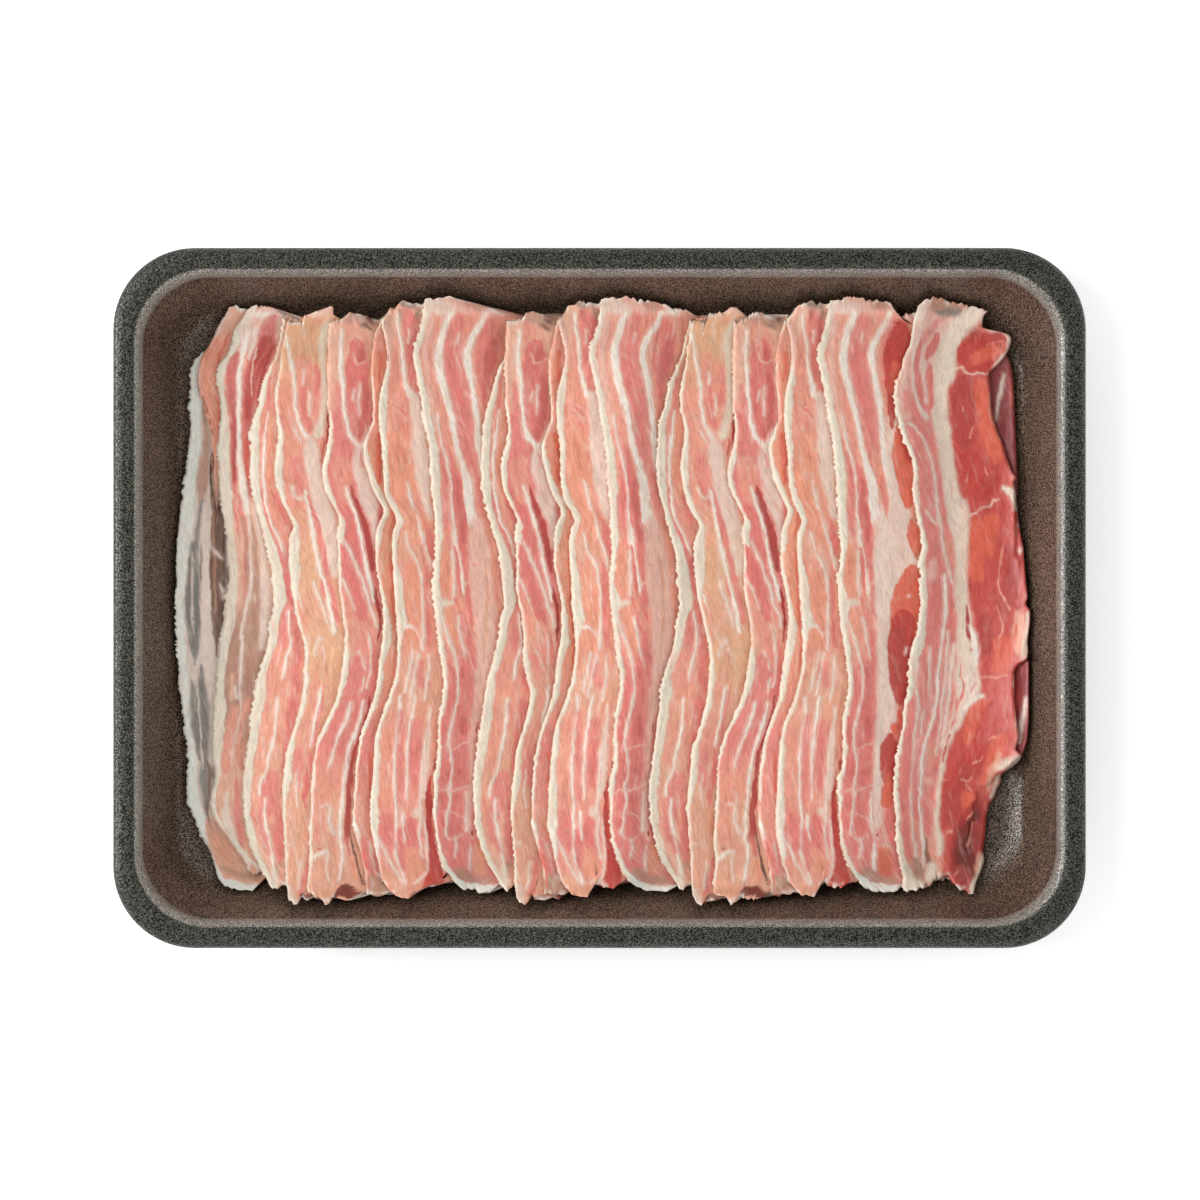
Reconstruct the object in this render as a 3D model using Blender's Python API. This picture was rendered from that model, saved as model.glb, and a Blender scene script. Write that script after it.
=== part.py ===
"""Pack of sliced pork belly: twenty-one thin raw slices shingled in a foam tray.

Frame: origin at the middle of the tray's flat base, +Z up, +X along the tray, metres.
Every slice runs along Y. Its fat rim is its left edge and lies on top of the slice
before it, so the first slice is the lowest and the last one shows its full width.

All slices share one lattice in plan. The lattice's columns are the slices' own left
edges, with a few columns between them, and its rows cross the tray. A slice's height
at a lattice point is the tray's height there plus one layer for each slice under it,
so neighbouring slices lie parallel, a hair apart, and never cross.
"""
import math

import bmesh
import bpy

MM = 0.001

# tray
TRAY_LENGTH = 250.0
TRAY_WIDTH = 180.0
CORNER_RADIUS = 21.0
CORNER_TIGHTENING = 0.4     # how much of each millimetre inwards the corners lose
CORNER_STEPS = 8
# profiles as (distance in from the outer edge, height)
RIM_PROFILE = ((0.6, 20.9), (0.0, 21.5), (0.0, 22.7), (0.8, 23.7), (2.0, 24.0), (4.6, 24.0), (6.2, 23.5))
INNER_PROFILE = ((7.1, 22.4), (7.7, 20.8), (14.2, 7.4), (15.8, 5.0), (18.2, 3.5), (21.0, 3.0))
OUTER_PROFILE = ((17.5, 0.0), (15.4, 0.6), (13.0, 2.2), (11.2, 5.0), (4.5, 19.4), (3.3, 20.9))

# slices
THICKNESS = 2.2
END_THICKNESS = 1.2         # the slices thin out towards both ends
THIN_FROM = 60.0            # distance from the tray's middle where thinning starts, a row
AIR_GAP = 0.3
TRAY_CLEARANCE = 0.4
SLICE_WIDTH = 30.0
SHARE_OF_FLAP = 3           # how many columns the short flap is wide
MIN_STEP = 1.6              # least distance between two neighbouring fat rims
HALF_ROWS = (4.0, 12.0, 20.0, 28.0, 36.0, 44.0, 52.0, 60.0, 68.0, 74.0, 80.0)
ROWS = tuple(-y for y in reversed(HALF_ROWS)) + HALF_ROWS

# Each rim's sideways wander from its middle, at stations STATION apart from the far
# end to the near end. Slices cut one after another have nearly the same rim.
STATION = 12.0
WANDER = {
    "a": (10.8, 4.1, 3.6, 3.2, 1.5, 0.3, 0.0, 0.4, 1.2, 2.7, 3.0, 6.2, 10.8),
    "flap": (2.0, -3.6, -2.0, -0.4, 0.8, 0.5, 0.0, -2.5, -3.0, -2.5, -2.5, 0.5, 6.4),
    "b": (4.2, -1.4, -1.2, -2.1, -0.6, 0.6, 0.0, -1.8, -2.6, -3.5, -3.2, -0.6, 8.6),
    "c": (2.4, -0.8, -4.5, -5.9, -4.5, -1.4, 0.0, -1.7, -4.6, -6.3, -8.0, -7.2, -1.9),
    "d": (-1.0, -3.3, -4.1, -4.5, -1.8, -0.8, 0.0, 2.8, 2.6, -0.3, -2.6, -2.4, -1.5),
    "e": (-3.0, -3.5, -3.1, -3.7, -1.7, -0.4, 0.0, 1.4, -0.6, -5.5, -7.5, -7.8, -8.1),
    "f": (0.1, -2.7, -2.2, -4.2, 0.6, -1.4, 0.0, 0.0, -1.4, -5.8, -6.8, -7.1, -3.7),
    "g": (-1.7, -2.2, -3.9, -3.2, -1.0, -0.5, 0.0, 0.8, -0.9, -5.1, -5.8, -5.9, -1.4),
    "h": (-3.1, -5.3, -2.8, -1.0, 0.0, 0.3, 0.0, 1.3, 2.6, 1.2, -0.1, 0.3, 4.1),
    "j": (-3.1, -3.6, -3.2, -3.9, -1.8, -0.5, 0.0, 1.5, 3.1, 0.0, -1.8, -1.9, -1.5),
    "k": (-1.7, -4.9, -6.3, -2.4, -1.5, 0.1, 0.0, -2.1, -3.5, -5.4, -6.8, -6.3, -4.2),
    "lean": (-5.1, -4.9, -4.1, -3.5, -3.2, -1.3, 0.0, -0.3, -0.3, -0.6, -6.7, -11.0, -13.4),
}
# how far each kind of slice reaches along Y: far end, near end
REACH = {
    "a": (63.7, -76.0), "flap": (75.3, 22.0), "b": (75.0, -71.0), "c": (72.4, -75.3),
    "d": (73.6, -78.4), "e": (71.8, -77.0), "f": (72.2, -76.0), "g": (76.0, -76.6),
    "h": (77.3, -75.5), "j": (72.0, -78.2), "k": (77.3, -76.4),
}
# from the lowest slice to the top one: kind of rim, and where it crosses the tray's middle
STACK = (
    ("a", -109.6), ("flap", -100.1), ("b", -96.6), ("c", -84.3), ("d", -79.3), ("e", -66.8),
    ("f", -56.3), ("g", -52.9), ("h", -43.0), ("c", -24.9), ("j", -20.9), ("f", -10.5),
    ("g", -7.1), ("h", 2.7), ("c", 20.5), ("d", 25.3), ("e", 37.5), ("f", 48.0),
    ("g", 51.5), ("h", 61.6), ("k", 82.7),
)
LEAN_EDGE = 111.1           # where the top slice's lean edge crosses the middle
WIDE_STEP = 14.0            # a step wider than this gets a column between its rims
LEAN_COLUMNS = 2            # columns between the top slice's rim and its lean edge
# the slice under the top one shows past the lean edge here: middle, half length, depth
PEEKS = ((46.0, 17.0, 0.62), (-27.0, 13.0, 0.40))

# slice ends: vertical cuts that round the corners and draw in the covered side
CORNER_CUT = 2.4
CORNER_ANGLE = math.radians(48)
END_SLANT = math.radians(4)
DRAW_IN_START = 3.5
DRAW_IN_ANGLE = math.radians(38)
TOP_DRAW_IN_START = 14.0
TOP_DRAW_IN_ANGLE = math.radians(38)
FIRST_END_ROW = 1           # the cuts at an end are set out from the rim's place on this row
CUT_TOLERANCE = 0.001
MERGE_DISTANCE = 0.05       # slivers narrower than this close up
SMOOTH_ANGLE = math.radians(40)

FOAM_COLOUR = (0.045, 0.046, 0.040)
MEAT_COLOURS = ((0.78, 0.45, 0.35), (0.80, 0.50, 0.40), (0.74, 0.38, 0.32), (0.82, 0.55, 0.44))


def clear_scene():
    for old in list(bpy.data.objects):
        bpy.data.objects.remove(old, do_unlink=True)


def make_material(name, colour, roughness):
    material = bpy.data.materials.new(name)
    material.use_nodes = True
    shader = material.node_tree.nodes["Principled BSDF"]
    shader.inputs["Base Color"].default_value = (*colour, 1.0)
    shader.inputs["Roughness"].default_value = roughness
    shader.inputs["Metallic"].default_value = 0.0
    return material


def add_object(name, bm, material):
    """Put a finished bmesh into the scene, in metres."""
    bmesh.ops.recalc_face_normals(bm, faces=bm.faces[:])
    bmesh.ops.scale(bm, vec=(MM, MM, MM), verts=bm.verts[:])
    mesh = bpy.data.meshes.new(name)
    bm.to_mesh(mesh)
    bm.free()
    mesh.materials.append(material)
    mesh.shade_smooth()
    mesh.set_sharp_from_angle(angle=SMOOTH_ANGLE)
    thing = bpy.data.objects.new(name, mesh)
    bpy.context.collection.objects.link(thing)
    return thing


# ---------------------------------------------------------------- tray

def ring_shape(inset):
    """Half length, half width and corner radius of the tray's outline, drawn in by inset."""
    radius = CORNER_RADIUS - CORNER_TIGHTENING * inset
    return TRAY_LENGTH / 2 - inset, TRAY_WIDTH / 2 - inset, radius


def ring_points(inset, height):
    half_x, half_y, radius = ring_shape(inset)
    points = []
    for quarter, (sx, sy) in enumerate(((1, 1), (-1, 1), (-1, -1), (1, -1))):
        centre = (sx * (half_x - radius), sy * (half_y - radius))
        for step in range(CORNER_STEPS + 1):
            angle = math.pi / 2 * (quarter + step / CORNER_STEPS)
            points.append((centre[0] + radius * math.cos(angle),
                           centre[1] + radius * math.sin(angle), height))
    return points


def distance_past_ring(x, y, inset):
    """Distance of a point outside a ring of the tray; negative inside it."""
    half_x, half_y, radius = ring_shape(inset)
    over_x = abs(x) - (half_x - radius)
    over_y = abs(y) - (half_y - radius)
    outside = math.hypot(max(over_x, 0.0), max(over_y, 0.0))
    return outside + min(max(over_x, over_y), 0.0) - radius


def tray_height(x, y):
    """Height of the tray's inner surface above a point of the table."""
    rings = list(reversed(INNER_PROFILE))
    below = distance_past_ring(x, y, rings[0][0])
    if below <= 0.0:
        return rings[0][1]
    for (_, low), (inset, high) in zip(rings, rings[1:]):
        above = distance_past_ring(x, y, inset)
        if above <= 0.0:
            return low + (high - low) * below / (below - above)
        below = above
    return rings[-1][1]


def build_tray():
    bm = bmesh.new()
    profile = OUTER_PROFILE + RIM_PROFILE + INNER_PROFILE
    loops = []
    for inset, height in profile:
        loops.append([bm.verts.new(point) for point in ring_points(inset, height)])
    for lower, upper in zip(loops, loops[1:]):
        count = len(lower)
        for i in range(count):
            j = (i + 1) % count
            bm.faces.new((lower[i], lower[j], upper[j], upper[i]))
    bm.faces.new(reversed(loops[0]))
    bm.faces.new(loops[-1])
    add_object("foam_tray", bm, make_material("foam", FOAM_COLOUR, 0.5))


# ---------------------------------------------------------------- lattice of rims

def wander_at(kind, y):
    """Sideways wander of a rim at y: a smooth curve through its stations."""
    stations = WANDER[kind]
    last = len(stations) - 1
    place = min(max((STATION * last / 2 - y) / STATION, 0.0), float(last))
    i = min(int(place), last - 1)
    t = place - i
    p0 = stations[max(i - 1, 0)]
    p1 = stations[i]
    p2 = stations[i + 1]
    p3 = stations[min(i + 2, last)]
    return (p1 + 0.5 * t * (p2 - p0)
            + t * t * (p0 - 2.5 * p1 + 2.0 * p2 - 0.5 * p3)
            + t * t * t * (1.5 * (p1 - p2) + 0.5 * (p3 - p0)))


def rim_line(kind, middle):
    return [middle + wander_at(kind, y) for y in ROWS]


def build_columns():
    """X of every lattice column at every row, and the column of each slice's rim."""
    rims = [rim_line(kind, middle) for kind, middle in STACK]
    rims.append(rim_line("lean", LEAN_EDGE))
    for upper, lower in zip(reversed(rims), reversed(rims[:-1])):
        for row in range(len(ROWS)):
            lower[row] = min(lower[row], upper[row] - MIN_STEP)
    columns = []
    rim_column = []
    middles = [middle for _, middle in STACK] + [LEAN_EDGE]
    for i, rim in enumerate(rims):
        rim_column.append(len(columns))
        columns.append(rim)
        if i + 1 == len(rims):
            break
        between = 1 if middles[i + 1] - middles[i] > WIDE_STEP else 0
        if i + 2 == len(rims):
            between = LEAN_COLUMNS
        for n in range(between):
            share = (n + 1) / (between + 1)
            columns.append([a + share * (b - a) for a, b in zip(rim, rims[i + 1])])
    return columns, rim_column


def last_column(index, columns, rim_column):
    """The column where a slice's covered side ends."""
    if index >= len(STACK) - 2:
        return len(columns) - 1
    if STACK[index][0] == "flap":
        return rim_column[index] + SHARE_OF_FLAP
    middle_row = len(ROWS) // 2
    wanted = STACK[index][1] + SLICE_WIDTH
    for column in range(rim_column[index], len(columns)):
        if columns[column][middle_row] >= wanted:
            return column
    return len(columns) - 1


def peek_depth(y):
    """How far, from 0 to 1, the top slice draws back to show the one under it."""
    for middle, half, depth in PEEKS:
        if abs(y - middle) < half:
            return depth * math.cos(math.pi / 2 * (y - middle) / half) ** 0.5
    return 0.0


# ---------------------------------------------------------------- slices

def thickness_at(y):
    thinning = max(abs(y) - THIN_FROM, 0.0) / (HALF_ROWS[-1] - THIN_FROM)
    return THICKNESS + (END_THICKNESS - THICKNESS) * thinning


def end_cuts(index, columns, rim_column):
    """Vertical planes, as point and outward normal, that shape both ends of a slice."""
    kind = STACK[index][0]
    rim = columns[rim_column[index]]
    cover = columns[rim_column[index + 1]]
    draw_in = (DRAW_IN_START, DRAW_IN_ANGLE)
    if index == len(STACK) - 1:
        draw_in = (TOP_DRAW_IN_START, TOP_DRAW_IN_ANGLE)
        cover = rim
    cuts = []
    far_reach, near_reach = REACH[kind]
    last_row = len(ROWS) - 1
    for side, reach, row in ((1, far_reach, last_row - FIRST_END_ROW), (-1, near_reach, FIRST_END_ROW)):
        x = rim[row]
        slant = END_SLANT * (-1) ** index
        cuts.append(((x, reach), (side * math.sin(slant), side * math.cos(slant))))
        corner = (x + CORNER_CUT, reach)
        cuts.append((corner, (-math.cos(CORNER_ANGLE), side * math.sin(CORNER_ANGLE))))
        if index == len(STACK) - 1 and side < 0:
            continue
        start, angle = draw_in
        cuts.append(((cover[row] + start, reach), (math.sin(angle), side * math.cos(angle))))
    return cuts


def inside(point, cuts):
    return all((point[0] - co[0]) * no[0] + (point[1] - co[1]) * no[1] < 0.0 for co, no in cuts)


def slice_cells(index, columns, rim_column):
    """The lattice cells a slice covers, as (column, row) of their lower left corner."""
    cuts = end_cuts(index, columns, rim_column)
    second = index == len(STACK) - 2
    cells = []
    for column in range(rim_column[index], last_column(index, columns, rim_column)):
        outermost = column + 2 == len(columns)
        for row in range(len(ROWS) - 1):
            if second and outermost and not (peek_depth(ROWS[row]) and peek_depth(ROWS[row + 1])):
                continue
            corners = [(columns[c][r], ROWS[r]) for c in (column, column + 1) for r in (row, row + 1)]
            if any(inside(corner, cuts) for corner in corners):
                cells.append((column, row))
    return cells


def cell_corners(cell):
    column, row = cell
    return (column, row), (column + 1, row), (column + 1, row + 1), (column, row + 1)


def build_slice(index, columns, rim_column, cells, layers):
    bm = bmesh.new()
    nodes = sorted({corner for cell in cells for corner in cell_corners(cell)})
    verts = {}
    for column, row in nodes:
        x, y = columns[column][row], ROWS[row]
        layer = thickness_at(y) + AIR_GAP
        z = tray_height(x, y) + TRAY_CLEARANCE + layer * layers.get((column, row), 0)
        verts[column, row] = bm.verts.new((x, y, z))
    if index == len(STACK) - 1:
        for row in range(len(ROWS)):
            edge = verts.get((len(columns) - 1, row))
            inner = verts.get((len(columns) - 2, row))
            if edge and inner:
                edge.co = edge.co.lerp(inner.co, peek_depth(ROWS[row]))
    for cell in cells:
        a, b, c, d = (verts[corner] for corner in cell_corners(cell))
        bm.faces.new((a, b, c))
        bm.faces.new((a, c, d))
    for (x, y), (nx, ny) in end_cuts(index, columns, rim_column):
        everything = bm.verts[:] + bm.edges[:] + bm.faces[:]
        bmesh.ops.bisect_plane(bm, geom=everything, dist=CUT_TOLERANCE,
                               plane_co=(x, y, 0.0), plane_no=(nx, ny, 0.0), clear_outer=True)
    bmesh.ops.remove_doubles(bm, verts=bm.verts[:], dist=MERGE_DISTANCE)
    bmesh.ops.triangulate(bm, faces=bm.faces[:])
    raised = bmesh.ops.extrude_face_region(bm, geom=bm.faces[:])
    for item in raised["geom"]:
        if isinstance(item, bmesh.types.BMVert):
            item.co.z += thickness_at(item.co.y)
    name = f"pork_slice_{index + 1:02d}"
    colour = MEAT_COLOURS[index % len(MEAT_COLOURS)]
    add_object(name, bm, make_material(f"pork_{index + 1:02d}", colour, 0.35))


def build_slices():
    columns, rim_column = build_columns()
    layers = {}
    for index in range(len(STACK)):
        cells = slice_cells(index, columns, rim_column)
        build_slice(index, columns, rim_column, cells, layers)
        for node in {corner for cell in cells for corner in cell_corners(cell)}:
            layers[node] = layers.get(node, 0) + 1


clear_scene()
build_tray()
build_slices()
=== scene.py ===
"""Dresses the pack of sliced pork belly: each slice as a thin marbled sheet, in a foam tray.

Lengths in the tables are millimetres. A slice's own x is measured from its rim at the
tray's middle line, and y runs along the slice, so slices of one kind share their tables.
"""
import math

import bpy
import numpy as np
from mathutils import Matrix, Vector
from mathutils.bvhtree import BVHTree


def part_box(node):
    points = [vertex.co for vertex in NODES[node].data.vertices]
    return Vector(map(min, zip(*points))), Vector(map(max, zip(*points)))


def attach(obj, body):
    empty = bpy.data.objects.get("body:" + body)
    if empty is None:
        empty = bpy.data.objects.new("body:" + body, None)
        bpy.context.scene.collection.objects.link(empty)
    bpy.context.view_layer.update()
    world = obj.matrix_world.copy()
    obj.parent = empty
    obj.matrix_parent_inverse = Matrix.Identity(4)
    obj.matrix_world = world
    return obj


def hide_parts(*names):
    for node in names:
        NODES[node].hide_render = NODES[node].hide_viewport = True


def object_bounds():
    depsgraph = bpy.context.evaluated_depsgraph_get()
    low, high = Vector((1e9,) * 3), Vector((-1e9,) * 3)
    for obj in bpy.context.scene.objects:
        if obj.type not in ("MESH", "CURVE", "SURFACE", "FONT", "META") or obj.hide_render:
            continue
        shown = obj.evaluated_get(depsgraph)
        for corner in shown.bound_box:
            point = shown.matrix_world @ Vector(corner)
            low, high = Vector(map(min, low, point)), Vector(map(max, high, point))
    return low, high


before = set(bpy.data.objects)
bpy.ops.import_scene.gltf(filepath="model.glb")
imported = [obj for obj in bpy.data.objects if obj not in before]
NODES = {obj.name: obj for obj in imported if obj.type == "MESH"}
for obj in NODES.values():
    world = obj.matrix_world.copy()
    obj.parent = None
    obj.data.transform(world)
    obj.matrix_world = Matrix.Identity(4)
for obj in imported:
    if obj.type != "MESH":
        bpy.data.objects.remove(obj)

CAD_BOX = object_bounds()
MM = 0.001

# ---------------------------------------------------------------- paints
# sRGB colour, share of fat
PAINTS = {
    "white": ((233, 222, 208), 1.0), "cream": ((219, 207, 187), 1.0), "pale": ((225, 203, 188), 0.8),
    "blush": ((226, 180, 164), 0.5), "peach": ((226, 172, 147), 0.3), "tan": ((220, 161, 134), 0.1),
    "amber": ((220, 167, 130), 0.1), "salmon": ((225, 150, 128), 0.0), "orange": ((224, 148, 120), 0.0),
    "pink": ((221, 130, 121), 0.0), "rose": ((217, 119, 110), 0.0), "brick": ((197, 96, 91), 0.0),
    "deep": ((172, 64, 58), 0.0), "flame": ((214, 98, 74), 0.0), "red": ((184, 60, 50), 0.0),
    "blood": ((158, 42, 40), 0.0), "purple": ((136, 46, 48), 0.0), "brown": ((110, 76, 56), 0.0),
    "umber": ((180, 135, 114), 0.1), "grey": ((116, 113, 107), 0.1), "smoke": ((221, 220, 209), 1.0),
    # gloom is painted shade: a dark tone laid where shade falls on the slices
    "shell": ((219, 201, 187), 0.7), "bark": ((112, 42, 34), 0.0), "gloom": ((95, 62, 50), 0.0),
}

# ---------------------------------------------------------------- slices
# Each kind: the rim as (y, x); width of the rim's fat as (y, width); both ends as (x, y);
# lean colour along the slice as (y, paint); strokes as paint, then x, y, width, x, y, width ...
# A paint name ending in ~ has a soft edge.
KINDS = {}
KINDS["a"] = dict(
    rim=((63.7, 6.9), (60.4, 4.1), (56, 3.9), (50.9, 3.7), (40.6, 3.6), (38, 3.3), (32.9, 2.8), (24.4, 1.5),
         (15.9, 0.3), (6.7, 0.3), (0.3, 0), (-11.6, 0.4), (-17, 0.5), (-23.4, 1.2), (-32.1, 2.3),
         (-42.6, 3.2), (-47.8, 2.8), (-52, 3.0), (-55, 4.1), (-60.4, 6.2), (-64.7, 8.5), (-69.4, 10),
         (-72, 11), (-74, 12.4)),
    fat=((64, 1.5), (50, 3.2), (35, 3), (25, 3.5), (15, 4), (8, 2.8), (0, 2.2), (-8, 2.2), (-14, 2.6),
         (-20, 2.4), (-28, 2.2), (-36, 2), (-44, 2.6), (-50, 3.2), (-56, 3.2), (-61, 1.6), (-66, 0.8),
         (-70, 0.8), (-76, 2)),
    fat_paint="smoke",
    top=((4, 61), (7, 63.9), (9, 64.5), (20, 64)),
    bottom=((11, -73), (12.4, -74.2), (14.5, -75), (18, -75.6), (20.5, -76), (22.5, -75.4), (23.6, -74.9),
            (30, -70)),
    lean=((64, "shell"), (30, "shell"), (-54, "shell"), (-60, "tan"), (-76, "tan")),
    strokes=(
        ("umber~", 7.6, 50, 1, 7.9, 44, 1.6, 8, 38, 2, 7, 32, 3, 7, 26, 2.4),
        ("grey~", 4.6, 14, 1.4, 4.7, 5, 3.2, 4.7, -4, 3.4, 4.8, -11, 2, 4.8, -15, 1),
        ("grey~", 6.2, -22, 1.6, 6.6, -30, 3, 7, -38, 2.4),
        ("grey~", 6.6, 25, .8, 6.2, 20, 1.1, 5.6, 15, 1.3, 5.6, 10, 1.2, 5.9, 5, 1.7, 5.6, 0, 2, 5.6, -5,
         1.9, 5.7, -10, 1.9, 5.5, -14, 1, 5, -17.5, .4),
        ("brown~", 6.8, 14, .3, 6.8, 10, .5, 6.6, 5, .5),
        ("grey~", 3.7, 10, .6, 3.7, 5, 1.1, 3.3, 0, 1.3, 3.2, -5, 1.5, 3.9, -10, .9, 4.6, -14, .6),
        ("brown", 10.2, 40, .6, 9.5, 36, .9, 9.2, 32, .8, 9.8, 28, 1.4, 10.6, 24, 2.6, 11, 19, 3.4, 11.2,
         14, 4, 11, 8, 4.6, 11.2, 3, 4.4, 10.9, -3, 3.4, 10.8, -8, 2.4, 10.7, -12, 1.2, 10.6, -15, .4),
        # painted shade: a dark band near the slice's right edge
        ("gloom~", 12.4, 22, .5, 12.6, 17, .9, 12.9, 9, 1, 13.4, 5, 1, 12.6, 0, .9, 12.4, -6, .6),
        ("shell~", 4.6, 12, .3, 4.5, 4, .5, 4.4, -4, .5, 4.8, -9, .4),
        ("umber~", 9.6, 26, .4, 10, 16, .6, 10.2, 6, .6, 10.4, -4, .4),
        ("pale", 9.6, 13, .3, 10.8, 11.4, .5, 12.2, 10.4, .3),
        ("pale", 11.7, 3.6, .2, 12.3, 1.6, .6, 12.3, .2, .2),
        ("shell~", 8, 27, 1, 7.8, 18, 1.7, 7.8, 10, 1.3, 7.8, 0, 1.9, 8.2, -8, 2.2, 8.6, -14, 3, 9.4, -20,
         2.4, 9.6, -27, 1),
        ("grey~", 6.8, -17.6, .4, 6.7, -20, 1.4, 7.2, -24, 2, 7.9, -29, 1.9, 8, -35, 1.8, 7.9, -40, 1.4,
         7.4, -44, 1.8, 7.3, -48, 2.2, 7.8, -52, 1.2, 8.2, -56, .6),
        ("grey~", 4.3, -21, .5, 4.5, -25, 1.3, 4.8, -30, 1.7, 5.3, -35, 1.5, 6, -39, 1, 6.4, -42, .5),
        ("shell", 5.4, -20, .3, 6.3, -30, .35, 6.9, -38, .3, 7.4, -44, .3),
        ("brown~", 8.4, -42, .5, 9.2, -45, 1.8, 8.9, -48, 1.2, 8.6, -51, .7, 8.7, -57, .6, 9.3, -61, .8),
        ("tan~", 8.6, -58, .8, 9.4, -62, 2, 10.5, -65, 3.4, 13, -68, 3.6, 16, -70, 3),
        ("orange~", 10, -62, .7, 11.6, -65, .8, 13.6, -68, .6, 15, -69.2, .5),
        ("umber~", 12, -70, 1, 14.5, -70.6, 1.6, 18, -71.6, 2, 21.5, -72, 1.8),
        ("smoke", 11.6, -73.2, 1.4, 13, -73.6, 2.2, 16, -74.4, 2.6, 19.5, -75, 2.6, 23, -74.6, 2.2),
    ),
)
KINDS["flap"] = dict(
    rim=((76, 4.6), (73.5, 3.2), (70.9, 1.4), (67.6, 0.1), (65.5, -0.7), (62.9, -2.5), (59.9, -3.8),
         (56.5, -4.3), (52.9, -3.5), (49.6, -2.5), (46.2, -1.5), (43.2, -1), (40.6, -0.4), (36.7, -0.2),
         (31.6, -0.4), (22, 0.4)),
    fat=((76, 0), (22, 0)),
    top=((2, 72.5), (3.5, 75), (4.6, 75.8), (6, 75.6), (7, 75.3), (8.5, 74.6), (12, 74)),
    bottom=((-2, 23), (8, 21)),
    lean=((76, "peach"), (71, "peach"), (66, "orange"), (36, "orange"), (28, "umber"), (22, "brown")),
    strokes=(
        ("pale~", 3.6, 74, 1.4, 1.8, 70, 1, .4, 67.5, .8),
        ("blush~", -3.6, 60, .8, -3.9, 56, .9, -3.2, 52, .6),
        ("flame~", 4, 68, .6, 2, 63, .8, 1, 58, .8, 1.3, 54, 1, 1.8, 48, .8, 1.4, 42, .5),
        # painted shadow: a dark line along the flap's rim, in these two strokes
        ("brown", -2.4, 52, .3, -1, 48, .3, -.3, 44, .3, .3, 41, .3),
        ("gloom~", .2, 36.5, .5, 0, 33.5, .6, -.4, 31, .3),
        ("white", 6.4, 75, .8, 7.4, 74.6, 1),
    ),
)
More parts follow.
